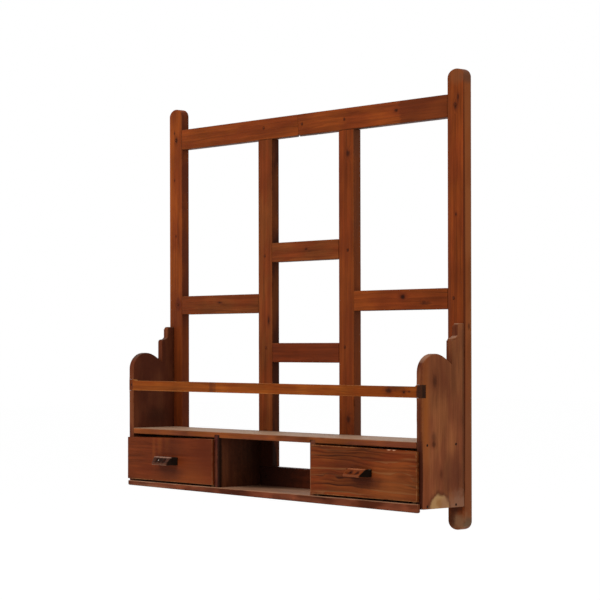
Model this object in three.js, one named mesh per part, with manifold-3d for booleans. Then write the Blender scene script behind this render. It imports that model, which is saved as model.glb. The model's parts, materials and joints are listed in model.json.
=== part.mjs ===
// Wall plate rack in stained pine: a pegged ladder frame that hangs flat on a wall, and in front of
// its lower half a case with a plate shelf, a guard rail, an open compartment and two drawers.
// Millimetres. +X is right, +Y points into the wall, +Z is up. The wall is the plane Y = 0.

import * as THREE from "three";
import { mergeVertices } from "three/addons/utils/BufferGeometryUtils.js";
import Module from "manifold-3d";

// ---------- Driving dimensions ----------

// Overall
const overallWidth = 1000;
const overallHeight = 962;
const frameThickness = 22.6;
const caseDepth = 124;

// Frame members. Heights count from the right post's lower end, and the left one ends higher.
const postWidth = 48.5;
const postEndRise = 18;
const leftFootRise = 38;
const stileWidth = 49;
const middleBayWidth = 228;
const topRailWidth = 48.5;
const topRailDrop = 51.5;
const bottomRailWidth = 48.5;
const bottomRailTop = 104.5;
const crossRailWidth = 44.5;
const sideRailTop = 505;
const upperRailTop = 621.4;
const lowerRailTop = 390.6;

// Frame joints
const tenonThickness = 8;
const tenonLength = 36;
const tenonShoulder = 4;
const mortiseSlack = 1;
const spliceX = -22;
const spliceLean = 4;
const spliceLength = 48;
const splicePegInset = 14;
const chipWidth = 4;
const chipHeight = 3;
const pegRadius = 3.5;
const pegLength = 18;

// Case boards
const sideThickness = 17;
const sideBottom = 50;
const sideTop = 430.5;
const topTread = 19.5;
const topRiserFoot = 406;
const middleTread = 17;
const middleStepTop = 400;
const cuspHeight = 346;
const lobeTop = 367.6;
const lobeRadius = 39.6;
const stepRadius = 5.5;
const shelfThickness = 13.4;
const shelfTop = 187.3;
const bottomThickness = 11;
const bottomBoardTop = 61;
const bottomLipInset = 5;
const bottomLipCorner = 4;
const bottomLipFall = 7;
const dividerThickness = 17;
const compartmentWidth = 312;
const shelfHousing = 6.5;
const bottomHousing = 5;

// Guard rail
const guardThickness = 11;
const guardBottom = 277.4;
const guardHeight = 23.2;
const guardEndHeight = 26.6;
const guardRamp = 5;

// Drawers
const frontProud = 8;
const frontThickness = 18;
const frontLift = 4.5;
const drawerSideThickness = 9;
const drawerBackThickness = 9;
const drawerPanel = 5;
const panelRise = 9;
const panelHousing = 4;
const drawerHeadroom = 8;
const drawerStopGap = 2;

// Each drawer front laps over the divider and the side board by its own amounts, and its top edge
// leaves an uneven gap under the shelf. Each handle was carved on its own. A handle's depths count
// from the front's face and its rise from the front's lower edge, and it stands aside from the
// front's middle, outward where the value is positive.
const drawerKinds = [
  {
    name: "left_drawer",
    hand: -1,
    innerLap: 1.5,
    outerLap: 13.5,
    innerGap: 2.9,
    outerGap: 8.4,
    handle: {
      aside: 3.5,
      rise: 39.8,
      height: 19,
      baseWidth: 79,
      lipWidth: 55,
      topDepth: 15,
      lipDepth: 27,
      gouges: [-13, 0, 13],
      gougeWidth: 9.5,
    },
  },
  {
    name: "right_drawer",
    hand: 1,
    innerLap: 6.5,
    outerLap: 8.5,
    innerGap: 2.7,
    outerGap: 5,
    handle: {
      aside: -3,
      rise: 44.3,
      height: 17,
      baseWidth: 69,
      lipWidth: 49,
      topDepth: 12.5,
      lipDepth: 30,
      gouges: [0],
      gougeWidth: 40,
    },
  },
];
const handleLip = 4;
const handleEase = 1.2;
const gougeRadius = 14;
const gougeDepth = 3;
const handleNailSpacing = 23;

// Nails: head radius and thickness, shank radius, length, and how far the bore opens past the head
const boardNail = { head: 2.7, cap: 1.1, shank: 1.4, length: 38, mouth: 1 };
const handleNail = { head: 2.2, cap: 1, shank: 1.2, length: 30, mouth: 9 };
const nailFrontInset = 15;
const nailRearInset = 25;

// Finish and fits
const arris = 1.5;
const smallArris = 0.8;
const fitGap = 0.3;
const slideGap = 0.4;
const drawerSlack = 1.5;
const passThrough = 1;

// Fineness of round forms
const nailSides = 8;
const pegSides = 12;
const gougeSides = 24;
const curveSteps = 7;
const easeSteps = 2;

// ---------- Derived places ----------

const halfWidth = overallWidth / 2;
const frameFront = -frameThickness;
const frameMiddle = frameFront / 2;
const caseRear = frameFront - fitGap;
const caseFront = frameFront - caseDepth;
const frontFace = caseFront - frontProud;
const lipRear = caseFront - fitGap;

const postInner = halfWidth - postWidth;
const postCentre = halfWidth - postWidth / 2;
const stileInner = middleBayWidth / 2;
const stileOuter = stileInner + stileWidth;
const stileCentre = stileInner + stileWidth / 2;
const topRailTop = overallHeight - topRailDrop;

const sideInner = halfWidth - sideThickness;
const sideMiddle = halfWidth - sideThickness / 2;
const boardReach = sideInner - fitGap;
const lipReach = halfWidth - bottomLipInset;
const shelfBottom = shelfTop - shelfThickness;
const shelfMiddle = shelfTop - shelfThickness / 2;
const bottomBoardBottom = bottomBoardTop - bottomThickness;
const bottomBoardMiddle = bottomBoardTop - bottomThickness / 2;
const dividerInner = compartmentWidth / 2;
const dividerOuter = dividerInner + dividerThickness;
const frontBottom = bottomBoardTop + frontLift;

// Each rail's height range
const railZ = {
  top: [topRailTop - topRailWidth, topRailTop],
  upper: [upperRailTop - crossRailWidth, upperRailTop],
  side: [sideRailTop - crossRailWidth, sideRailTop],
  lower: [lowerRailTop - crossRailWidth, lowerRailTop],
  bottom: [bottomRailTop - bottomRailWidth, bottomRailTop],
};
const middleOf = ([low, high]) => (low + high) / 2;

// ---------- Geometry helpers ----------

const X = new THREE.Vector3(1, 0, 0);
const Y = new THREE.Vector3(0, 1, 0);
const Z = new THREE.Vector3(0, 0, 1);
const forward = Y.clone().negate();

const wasm = await Module();
wasm.setup();

/** A closed solid from a three.js geometry, with its shared corners merged. */
function solidOf(geometry) {
  geometry.deleteAttribute("normal");
  geometry.deleteAttribute("uv");
  const merged = mergeVertices(geometry);
  const corners = merged.index.array;
  const triangles = [];
  for (let i = 0; i < corners.length; i += 3) {
    const [a, b, c] = corners.slice(i, i + 3);
    if (a !== b && b !== c && c !== a) triangles.push(a, b, c);
  }
  return new wasm.Manifold(
    new wasm.Mesh({
      numProp: 3,
      vertProperties: merged.attributes.position.array,
      triVerts: new Uint32Array(triangles),
    }),
  );
}

/** A flat-shaded three.js geometry from a solid. */
function geometryOf(solid) {
  const mesh = solid.getMesh();
  const indexed = new THREE.BufferGeometry();
  indexed.setAttribute("position", new THREE.BufferAttribute(mesh.vertProperties, 3));
  indexed.setIndex(new THREE.BufferAttribute(mesh.triVerts, 1));
  const geometry = indexed.toNonIndexed();
  geometry.computeVertexNormals();
  return geometry;
}

const joined = (first, ...others) => others.reduce((sum, solid) => sum.add(solid), first);
const cut = (solid, ...tools) => tools.reduce((rest, tool) => rest.subtract(tool), solid);
const grown = ([low, high], by) => [low - by, high + by];

/** The range from near to far of the centre line, on the right (hand 1) or the left (hand -1). */
const sided = (hand, near, far) => (hand > 0 ? [near, far] : [-far, -near]);

/** The range between two values, whichever is the lower. */
const between = (a, b) => [Math.min(a, b), Math.max(a, b)];

// A section is drawn in YZ, XZ or XY and runs along x, y or z. Along y it runs from high to low.
const bases = { x: [Y, Z, X], y: [X, Z, forward], z: [X, Y, Z] };

/** The solid of a section that runs along an axis from low to high, its end edges eased if asked. */
function run(axis, section, [low, high], { steps = 1, ease = 0 } = {}) {
  const geometry = new THREE.ExtrudeGeometry(section, {
    depth: high - low - 2 * ease,
    curveSegments: steps,
    bevelEnabled: ease > 0,
    bevelThickness: ease,
    bevelSize: ease,
    bevelOffset: -ease,
    bevelSegments: easeSteps,
  });
  geometry.translate(0, 0, ease);
  const start = { x: [low, 0, 0], y: [0, high, 0], z: [0, 0, low] }[axis];
  const matrix = new THREE.Matrix4().makeBasis(...bases[axis]).setPosition(...start);
  return solidOf(geometry.applyMatrix4(matrix));
}

/** A straight-sided outline through [u, v] points. */
const outline = (points) => new THREE.Shape(points.map(([u, v]) => new THREE.Vector2(u, v)));

/** An outline through [u, v] points whose corners are rounded off over a given reach. */
function softOutline(points, reach) {
  const corners = points.map(([u, v]) => new THREE.Vector2(u, v));
  const towards = (corner, other) => other.clone().sub(corner).setLength(reach).add(corner);
  const shape = new THREE.Shape();
  corners.forEach((corner, i) => {
    const before = towards(corner, corners.at(i - 1));
    const after = towards(corner, corners[(i + 1) % corners.length]);
    if (i === 0) shape.moveTo(before.x, before.y);
    else shape.lineTo(before.x, before.y);
    shape.quadraticCurveTo(corner.x, corner.y, after.x, after.y);
  });
  return shape;
}

/** A rectangle in a section's plane, with round corners. */
function roundRectangle([u0, u1], [v0, v1], radius) {
  const quarter = Math.PI / 2;
  const shape = new THREE.Shape();
  shape.absarc(u1 - radius, v0 + radius, radius, -quarter, 0, false);
  shape.absarc(u1 - radius, v1 - radius, radius, 0, quarter, false);
  shape.absarc(u0 + radius, v1 - radius, radius, quarter, 2 * quarter, false);
  shape.absarc(u0 + radius, v0 + radius, radius, 2 * quarter, 3 * quarter, false);
  return shape;
}

/** A sharp block between the given limits, for tenons and for cutting. */
function block(x, y, z) {
  const geometry = new THREE.BoxGeometry(x[1] - x[0], y[1] - y[0], z[1] - z[0]);
  geometry.translate(middleOf(x), middleOf(y), middleOf(z));
  return solidOf(geometry);
}

/** A board whose long edges are eased and whose ends are left square. */
function board(axis, x, y, z, ease = arris) {
  const sections = { x: [y, z, x], y: [x, z, y], z: [x, y, z] };
  const [u, v, length] = sections[axis];
  return run(axis, roundRectangle(u, v, ease), length);
}

/** A round body from [radius, distance] pairs, laid from a point along a direction. */
function turned(profile, from, direction, sides) {
  const points = profile.map(([radius, distance]) => new THREE.Vector2(radius, distance));
  const geometry = new THREE.LatheGeometry(points, sides);
  geometry.applyQuaternion(new THREE.Quaternion().setFromUnitVectors(Y, direction));
  geometry.translate(from.x, from.y, from.z);
  return solidOf(geometry);
}

// ---------- Pegs and nails ----------

// Each pegged joint: the joint's middle, and how far its bore wandered from there
const pegs = [
  { name: "left_post_top_peg", x: -postCentre, rail: railZ.top, aside: 1, up: 1 },
  { name: "right_post_top_peg", x: postCentre, rail: railZ.top, aside: -2, up: 1 },
  { name: "left_post_middle_peg", x: -postCentre, rail: railZ.side, aside: 9, up: 2 },
  { name: "right_post_middle_peg", x: postCentre, rail: railZ.side, aside: -6.5, up: 0.5 },
  { name: "left_post_bottom_peg", x: -postCentre, rail: railZ.bottom, aside: 3, up: 0 },
  { name: "right_post_bottom_peg", x: postCentre, rail: railZ.bottom, aside: -3, up: 1 },
  { name: "left_stile_top_peg", x: -stileCentre, rail: railZ.top, aside: -4, up: 3 },
  { name: "right_stile_top_peg", x: stileCentre, rail: railZ.top, aside: -5, up: -0.5 },
  { name: "left_stile_upper_peg", x: -stileCentre, rail: railZ.upper, aside: -1, up: -7 },
  { name: "right_stile_upper_peg", x: stileCentre, rail: railZ.upper, aside: 5.5, up: -3.5 },
  { name: "left_stile_lower_peg", x: -stileCentre, rail: railZ.lower, aside: 2.5, up: 11 },
  { name: "right_stile_lower_peg", x: stileCentre, rail: railZ.lower, aside: -4.5, up: 12.5 },
  { name: "left_stile_bottom_peg", x: -stileCentre, rail: railZ.bottom, aside: 1, up: 2 },
  { name: "right_stile_bottom_peg", x: stileCentre, rail: railZ.bottom, aside: -1, up: 1 },
  { name: "splice_peg", x: spliceX, rail: railZ.top, aside: splicePegInset, up: 1 },
];

/** One peg from the frame's front, or its bore where it is grown by the fit. */
function pegSolid({ x, rail, aside, up }, growth = 0) {
  const radius = pegRadius + growth;
  const end = pegLength + growth;
  const profile = [
    [0, -growth],
    [radius, -growth],
    [radius, end],
    [0, end],
  ];
  const from = new THREE.Vector3(x + aside, frameFront, middleOf(rail) + up);
  return turned(profile, from, Y, pegSides);
}

const sideName = (hand) => (hand < 0 ? "left" : "right");

/** A nail of a kind, driven from a point along a direction, its head flush with that point. */
function nail(name, kind, [x, y, z], direction) {
  return { name, kind, from: new THREE.Vector3(x, y, z), direction };
}

function nailSolid({ kind, from, direction }) {
  const { head, cap, shank, length } = kind;
  const profile = [
    [0, 0],
    [head, 0],
    [head, cap],
    [shank, cap],
    [shank, length - 2 * shank],
    [0, length],
  ];
  return turned(profile, from, direction, nailSides);
}

function nailBore({ kind, from, direction }) {
  const { head, cap, shank, length, mouth } = kind;
  const profile = [
    [0, -mouth],
    [head + fitGap, -mouth],
    [head + fitGap, cap + fitGap],
    [shank + fitGap, cap + fitGap],
    [shank + fitGap, length + fitGap],
    [0, length + fitGap],
  ];
  return turned(profile, from, direction, nailSides);
}

/** From outside through a side board, into the shelf's and the bottom board's ends. */
function sideNails(hand) {
  const rows = { front: caseFront + nailFrontInset, rear: caseRear - nailRearInset };
  const boards = { shelf: shelfMiddle, bottom: bottomBoardMiddle };
  const inward = X.clone().multiplyScalar(-hand);
  return Object.entries(boards).flatMap(([held, z]) =>
    Object.entries(rows).map(([row, y]) =>
      nail(`${sideName(hand)}_${held}_${row}_nail`, boardNail, [hand * halfWidth, y, z], inward),
    ),
  );
}

/** From the front through one end of the guard rail, into the side board. */
function guardNail(hand) {
  const z = guardBottom + guardEndHeight / 2;
  return nail(`${sideName(hand)}_guard_nail`, boardNail, [hand * sideMiddle, caseFront, z], Y);
}

const pegBores = joined(...pegs.map((peg) => pegSolid(peg, fitGap)));
const caseNails = [-1, 1].flatMap((hand) => [...sideNails(hand), guardNail(hand)]);
const nailBores = joined(...caseNails.map(nailBore));

// ---------- Frame ----------

const frameY = [frameFront, 0];
const tenonY = grown([frameMiddle, frameMiddle], tenonThickness / 2);

/** A rail's tenon at the shoulder x, towards way, or its mortise where it is grown by the fit. */
function railTenon(shoulder, way, z, growth = 0) {
  const root = shoulder - way * tenonShoulder;
  const end = shoulder + way * (tenonLength + (growth && mortiseSlack));
  return block(between(root, end), grown(tenonY, growth), grown(z, growth - tenonShoulder));
}

/** A stile's tenon at the shoulder z, up (way 1) or down (way -1), or its mortise. */
function stileTenon(hand, shoulder, way, growth = 0) {
  const root = shoulder - way * tenonShoulder;
  const end = shoulder + way * (tenonLength + (growth && mortiseSlack));
  const x = grown(sided(hand, stileInner, stileOuter), growth - tenonShoulder);
  return block(x, grown(tenonY, growth), between(root, end));
}

/** A post: a flat bar with elliptical ends, mortised for the top, side and bottom rails. */
function post(hand) {
  const x = hand * postCentre;
  const foot = hand < 0 ? leftFootRise : 0;
  const shape = new THREE.Shape();
  shape.absellipse(x, foot + postEndRise, postWidth / 2, postEndRise, Math.PI, 2 * Math.PI);
  shape.absellipse(x, overallHeight - postEndRise, postWidth / 2, postEndRise, 0, Math.PI);
  const mortises = [railZ.top, railZ.side, railZ.bottom].map((z) =>
    railTenon(hand * postInner, hand, z, fitGap),
  );
  const body = run("y", shape, frameY, { steps: curveSteps, ease: arris });
  return cut(body, ...mortises, pegBores);
}

/** An inner upright, tenoned into the top and bottom rails and mortised for the cross rails. */
function stile(hand) {
  const x = sided(hand, stileInner, stileOuter);
  const z = [bottomRailTop + fitGap, railZ.top[0] - fitGap];
  const body = joined(
    board("z", x, frameY, z),
    stileTenon(hand, z[1], 1),
    stileTenon(hand, z[0], -1),
  );
  return cut(
    body,
    railTenon(hand * stileInner, hand, railZ.upper, fitGap),
    railTenon(hand * stileInner, hand, railZ.lower, fitGap),
    railTenon(hand * stileOuter, -hand, railZ.side, fitGap),
    pegBores,
  );
}

/** A straight rail between two shoulders, with a tenon at each end. */
function rail(left, right, z) {
  const x = [left + fitGap, right - fitGap];
  const body = joined(
    board("x", x, frameY, z),
    railTenon(x[0], -1, z),
    railTenon(x[1], 1, z),
  );
  return cut(body, pegBores);
}

/** The bottom rail, mortised from above for the stiles. */
function bottomRail() {
  const mortises = [-1, 1].map((hand) => stileTenon(hand, bottomRailTop, -1, fitGap));
  return cut(rail(-postInner, postInner, railZ.bottom), ...mortises);
}

/** What lies on one side of the top rail's leaning splice, within a depth range. */
function splicePart(way, y) {
  const [low, high] = grown(railZ.top, passThrough);
  const reach = way * (spliceLength + postWidth);
  const lean = spliceLean / 2;
  const face = outline([
    [spliceX + lean, low],
    [spliceX + lean + reach, low],
    [spliceX - lean + reach, high],
    [spliceX - lean, high],
  ]);
  return run("y", face, y);
}

/** The sliver lost from the top rail's lower edge at the splice's foot, slanting left to the rear. */
function spliceChip() {
  const foot = spliceX + spliceLean / 2;
  const [front, rear] = grown(frameY, passThrough);
  const slant = rear - front;
  const low = railZ.top[0];
  const plan = outline([
    [foot, front],
    [foot + chipWidth, front],
    [foot + chipWidth - slant, rear],
    [foot - slant, rear],
  ]);
  return run("z", plan, [low - passThrough, low + chipHeight]);
}

/** The left length of the top rail. Its rear half runs on past the splice as a tongue. */
function topRailLeft() {
  const x = [-postInner + fitGap, spliceX + spliceLength - fitGap];
  const body = joined(board("x", x, frameY, railZ.top), railTenon(x[0], -1, railZ.top));
  const frontHalf = splicePart(1, [frameFront - passThrough, frameMiddle + fitGap]);
  const mortise = stileTenon(-1, railZ.top[0], 1, fitGap);
  return cut(body, frontHalf, spliceChip(), mortise, pegBores);
}

/** The right length of the top rail. Its front half laps over the left one's tongue. */
function topRailRight() {
  const x = [spliceX - spliceLean, postInner - fitGap];
  const body = joined(board("x", x, frameY, railZ.top), railTenon(x[1], 1, railZ.top));
  const beyond = splicePart(-1, grown(frameY, passThrough));
  const rearHalf = block(
    [x[0] - passThrough, spliceX + spliceLength],
    [frameMiddle, passThrough],
    grown(railZ.top, passThrough),
  );
  return cut(
    body,
    beyond.translate([fitGap, 0, 0]),
    rearHalf,
    spliceChip(),
    stileTenon(1, railZ.top[0], 1, fitGap),
    pegBores,
  );
}

// ---------- Case ----------

/** A side board's outline in YZ: a round lobe in front, then two steps up to the top. */
function sideOutline() {
  const topStep = caseRear - topTread;
  const middleStep = topStep - middleTread;
  const lobeCentre = caseFront + lobeRadius;
  const lobeRun = middleStep - lobeCentre;
  const lobeFall = lobeTop - cuspHeight;
  const up = Math.PI / 2;
  const shape = new THREE.Shape();
  shape.moveTo(caseRear, sideBottom);
  shape.lineTo(caseRear, sideTop);
  shape.absarc(topStep + stepRadius, sideTop - stepRadius, stepRadius, up, 2 * up, false);
  shape.lineTo(topStep, topRiserFoot);
  shape.quadraticCurveTo(
    topStep - middleTread / 4,
    middleStepTop,
    middleStep + stepRadius,
    middleStepTop,
  );
  shape.absarc(middleStep + stepRadius, middleStepTop - stepRadius, stepRadius, up, 2 * up, false);
  shape.lineTo(middleStep, cuspHeight);
  shape.bezierCurveTo(
    middleStep - lobeRun * 0.3,
    cuspHeight + lobeFall * 0.45,
    lobeCentre + lobeRun * 0.38,
    lobeTop,
    lobeCentre,
    lobeTop,
  );
  shape.absarc(lobeCentre, lobeTop - lobeRadius, lobeRadius, up, 2 * up, false);
  shape.lineTo(caseFront, sideBottom);
  return shape;
}

/** A shaped side board, notched at its front edge for the guard rail's end. */
function sideBoard(hand) {
  const x = sided(hand, sideInner, halfWidth);
  const notch = block(
    grown(x, passThrough),
    [caseFront - passThrough, caseFront + guardThickness + fitGap],
    grown([guardBottom, guardBottom + guardEndHeight], fitGap),
  );
  const body = run("x", sideOutline(), x, { steps: curveSteps, ease: arris });
  return cut(body, notch, nailBores);
}

/** The housing that a divider sits in, across a board from front to rear. */
function housing(hand, z) {
  const x = grown(sided(hand, dividerInner, dividerOuter), fitGap);
  return block(x, grown([caseFront, caseRear], passThrough), z);
}

/** The shelf between the side boards, housed underneath for the dividers. */
function shelfBoard() {
  const z = [shelfBottom, shelfTop];
  const body = board("x", [-boardReach, boardReach], [caseFront, caseRear], z);
  const depth = [shelfBottom - passThrough, shelfBottom + shelfHousing];
  return cut(body, housing(-1, depth), housing(1, depth), nailBores);
}

/** The bottom board's wide lip. Its lower edge falls to the right, and its lower corners are round. */
function bottomLip() {
  const x = [-lipReach, lipReach];
  const y = [frontFace, lipRear];
  const low = bottomBoardBottom - bottomLipFall;
  const openAbove = bottomBoardTop + bottomLipCorner;
  const face = softOutline(
    [
      [-lipReach, bottomBoardBottom],
      [lipReach, low],
      [lipReach, openAbove],
      [-lipReach, openAbove],
    ],
    bottomLipCorner,
  );
  const lowerEdge = run("y", face, y, { steps: curveSteps, ease: arris });
  return board("x", x, y, [low, bottomBoardTop]).intersect(lowerEdge);
}

/** The bottom board between the side boards, in one piece with its lip in front of them. */
function bottomBoard() {
  const y = [frontFace + 2 * arris, caseRear];
  const panel = board("x", [-boardReach, boardReach], y, [bottomBoardBottom, bottomBoardTop]);
  const depth = [bottomBoardTop - bottomHousing, bottomBoardTop + passThrough];
  return cut(joined(panel, bottomLip()), housing(-1, depth), housing(1, depth), nailBores);
}

/** An upright board beside the open compartment, let into the shelf and the bottom board. */
function divider(hand) {
  const z = grown(
    [bottomBoardTop - bottomHousing, shelfBottom + shelfHousing],
    -fitGap,
  );
  return board("z", sided(hand, dividerInner, dividerOuter), [caseFront, caseRear], z, smallArris);
}

/** The guard rail, full at the ends that fill the notches and shaved lower between the sides. */
function guardRail() {
  const high = guardBottom + guardHeight;
  const endHigh = guardBottom + guardEndHeight;
  const rampEnd = sideInner - guardRamp;
  const face = outline([
    [-halfWidth, guardBottom],
    [halfWidth, guardBottom],
    [halfWidth, endHigh],
    [sideInner, endHigh],
    [rampEnd, high],
    [-rampEnd, high],
    [-sideInner, endHigh],
    [-halfWidth, endHigh],
  ]);
  const body = run("y", face, [caseFront, caseFront + guardThickness], { ease: smallArris });
  return cut(body, nailBores);
}

// ---------- Drawers ----------

/** A drawer's limits, worked out from its bay. Distances in x count outward from the centre line. */
function drawerLimits({ hand, innerLap, outerLap, innerGap, outerGap }) {
  const [near, far] = [dividerOuter + drawerSlack, sideInner - drawerSlack];
  const lip = [dividerOuter - innerLap, sideInner + outerLap];
  const bottom = bottomBoardTop + slideGap;
  const rear = caseRear - drawerStopGap;
  return {
    hand,
    near,
    far,
    nearFace: near + drawerSideThickness,
    farFace: far - drawerSideThickness,
    lip,
    centre: middleOf(lip),
    nearTop: shelfBottom - innerGap,
    farTop: shelfBottom - outerGap,
    bottom,
    top: shelfBottom - drawerHeadroom,
    panel: [bottom + panelRise, bottom + panelRise + drawerPanel],
    blockRear: frontFace + frontThickness,
    rear,
  };
}

/** A drawer's bottom panel, or the slab that cuts its grooves where it is grown by the fit. */
function panelSlab(d, growth = 0) {
  const reach = panelHousing - fitGap + growth;
  const x = sided(d.hand, d.nearFace - reach, d.farFace + reach);
  const y = [d.blockRear - reach, d.rear + (growth && passThrough)];
  return block(x, y, grown(d.panel, growth));
}

/** A lipped front: its ends lap over the case, and its thick middle fits between the drawer sides. */
function drawerFront(d) {
  const [near, far] = d.lip;
  const corners = [
    [near, frontBottom],
    [far, frontBottom],
    [far, d.farTop],
    [near, d.nearTop],
  ];
  const face = outline(corners.map(([x, z]) => [d.hand * x, z]));
  const body = run("y", face, [frontFace, d.blockRear], { ease: arris });
  const rebateY = [lipRear, d.blockRear + passThrough];
  const rebateZ = grown([frontBottom, d.nearTop], passThrough);
  return cut(
    body,
    block(sided(d.hand, near - passThrough, d.nearFace + fitGap), rebateY, rebateZ),
    block(sided(d.hand, d.farFace - fitGap, far + passThrough), rebateY, rebateZ),
    panelSlab(d, fitGap),
  );
}

/** A drawer side, from behind the front's lip to the rear, grooved for the panel. */
function drawerSide(d, near, far) {
  const y = [lipRear + fitGap, d.rear];
  const body = board("y", sided(d.hand, near, far), y, [d.bottom, d.top], smallArris);
  return cut(body, panelSlab(d, fitGap));
}

/** The drawer's back, which stands on the panel between the sides. */
function drawerBack(d) {
  const x = grown(sided(d.hand, d.nearFace, d.farFace), -fitGap);
  const z = [d.panel[1] + fitGap, d.top];
  return board("x", x, [d.rear - drawerBackThickness, d.rear], z, smallArris);
}

/** The leaning face of a handle in YZ: its middle, and the direction that it faces. */
function handleFace({ topDepth, lipDepth, rise, height }) {
  const back = frontFace - fitGap;
  const bottom = frontBottom + rise;
  const slope = new THREE.Vector2(lipDepth - topDepth, height - handleLip);
  return {
    middle: new THREE.Vector2(
      back - middleOf([topDepth, lipDepth]),
      bottom + middleOf([handleLip, height]),
    ),
    normal: new THREE.Vector2(-slope.y, slope.x).normalize(),
  };
}

/** The hollows in a handle's leaning face: round gouge cuts that lie along it. */
function gougeCuts(kind, centre) {
  const { middle, normal } = handleFace(kind);
  const axis = middle.clone().addScaledVector(normal, gougeRadius - gougeDepth);
  return kind.gouges.map((aside) => {
    const size = [gougeRadius, gougeRadius, kind.gougeWidth, gougeSides];
    const tool = new THREE.CylinderGeometry(...size);
    tool.rotateZ(Math.PI / 2);
    tool.translate(centre + aside, axis.x, axis.y);
    return solidOf(tool);
  });
}

/** A wooden pull: its face leans out to a lip at the bottom, and its ends taper towards the lip. */
function handleSolid(kind, centre) {
  const back = frontFace - fitGap;
  const bottom = frontBottom + kind.rise;
  const top = bottom + kind.height;
  const profile = softOutline(
    [
      [back, bottom],
      [back, top],
      [back - kind.topDepth, top],
      [back - kind.lipDepth, bottom + handleLip],
      [back - kind.lipDepth, bottom],
    ],
    handleEase,
  );
  const plan = softOutline(
    [
      [centre - kind.baseWidth / 2, back],
      [centre - kind.lipWidth / 2, back - kind.lipDepth],
      [centre + kind.lipWidth / 2, back - kind.lipDepth],
      [centre + kind.baseWidth / 2, back],
    ],
    handleEase,
  );
  const x = grown([centre, centre], kind.baseWidth / 2);
  const body = run("x", profile, x, { steps: easeSteps });
  const taper = run("z", plan, [bottom, top], { steps: easeSteps });
  return cut(body.intersect(taper), ...gougeCuts(kind, centre));
}

/** Two nails that hold a handle, sunk in its hollows and driven into the drawer front. */
function handleNails(drawerName, kind, centre) {
  const { middle, normal } = handleFace(kind);
  const floor = middle.clone().addScaledVector(normal, -gougeDepth);
  const sunk = floor.x + handleNail.head;
  return [-1, 1].map((way) => {
    const x = centre + (way * handleNailSpacing) / 2;
    return nail(`${drawerName}_${sideName(way)}_nail`, handleNail, [x, sunk, floor.y], Y);
  });
}

// ---------- Assembly ----------

// Stained pine in the tones of each part, and iron nails
const finishes = {
  frame: { color: "#7a4020", roughness: 0.5, metalness: 0 },
  peg: { color: "#4a2a18", roughness: 0.6, metalness: 0 },
  board: { color: "#75432b", roughness: 0.5, metalness: 0 },
  shelf: { color: "#8d7866", roughness: 0.7, metalness: 0 },
  rail: { color: "#8f4a24", roughness: 0.5, metalness: 0 },
  front: { color: "#743a1d", roughness: 0.5, metalness: 0 },
  box: { color: "#6e4a30", roughness: 0.75, metalness: 0 },
  handle: { color: "#5f3a26", roughness: 0.55, metalness: 0 },
  nail: { color: "#4b443e", roughness: 0.5, metalness: 0.8 },
};

/** One named piece of the rack with its own material. */
function piece(name, solid, finish) {
  const material = new THREE.MeshStandardMaterial(finishes[finish]);
  const mesh = new THREE.Mesh(geometryOf(solid), material);
  mesh.name = name;
  return mesh;
}

const nailPieces = (nails) => nails.map((one) => piece(one.name, nailSolid(one), "nail"));

/** The ladder frame against the wall. */
function frame() {
  const group = new THREE.Group();
  group.add(
    piece("left_post", post(-1), "frame"),
    piece("right_post", post(1), "frame"),
    piece("left_stile", stile(-1), "frame"),
    piece("right_stile", stile(1), "frame"),
    piece("top_rail_left", topRailLeft(), "frame"),
    piece("top_rail_right", topRailRight(), "frame"),
    piece("left_mid_rail", rail(-postInner, -stileOuter, railZ.side), "frame"),
    piece("right_mid_rail", rail(stileOuter, postInner, railZ.side), "frame"),
    piece("centre_upper_rail", rail(-stileInner, stileInner, railZ.upper), "frame"),
    piece("centre_lower_rail", rail(-stileInner, stileInner, railZ.lower), "frame"),
    piece("bottom_rail", bottomRail(), "frame"),
    ...pegs.map((peg) => piece(peg.name, pegSolid(peg), "peg")),
  );
  return group;
}

/** The case in front of the frame, without its drawers. */
function plateCase() {
  const group = new THREE.Group();
  group.add(
    piece("left_side_board", sideBoard(-1), "board"),
    piece("right_side_board", sideBoard(1), "board"),
    piece("shelf_board", shelfBoard(), "shelf"),
    piece("bottom_board", bottomBoard(), "board"),
    piece("left_divider", divider(-1), "board"),
    piece("right_divider", divider(1), "board"),
    piece("guard_rail", guardRail(), "rail"),
    ...nailPieces(caseNails),
  );
  return group;
}

/** One drawer with its handle. */
function drawer(kind) {
  const d = drawerLimits(kind);
  const centre = d.hand * (d.centre + kind.handle.aside);
  const nails = handleNails(kind.name, kind.handle, centre);
  const bores = joined(...nails.map(nailBore));
  const named = (part, solid, finish) => piece(`${kind.name}_${part}`, solid, finish);
  const group = new THREE.Group();
  group.add(
    named("front", cut(drawerFront(d), bores), "front"),
    named("inner_side", drawerSide(d, d.near, d.nearFace), "box"),
    named("outer_side", drawerSide(d, d.farFace, d.far), "box"),
    named("back", drawerBack(d), "box"),
    named("bottom", panelSlab(d), "box"),
    named("handle", cut(handleSolid(kind.handle, centre), bores), "handle"),
    ...nailPieces(nails),
  );
  return group;
}

// The origin is where the rack hangs: on the wall plane, at the middle of the top rail's back.
const rack = new THREE.Group();
rack.add(frame(), plateCase(), ...drawerKinds.map(drawer));
rack.position.z = -middleOf(railZ.top);

export default rack;
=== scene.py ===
"""Looks of a stained-pine wall plate rack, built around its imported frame.

The rack is an old pegged ladder frame with a shelf case and two small drawers in front of its
lower half. Lengths are in metres in the frame's own axes: +X right, +Y into the wall, +Z up, with
the origin at the middle of the top rail's back. Marks on the wood are placed in millimetres, with
heights counted from the right post's lower end.
"""

import json
import logging
import math
import random
from dataclasses import dataclass, replace
from enum import Enum
from typing import Callable, Iterable, Sequence

import bmesh
import bpy
from mathutils import Euler, Matrix, Vector, noise

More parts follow.
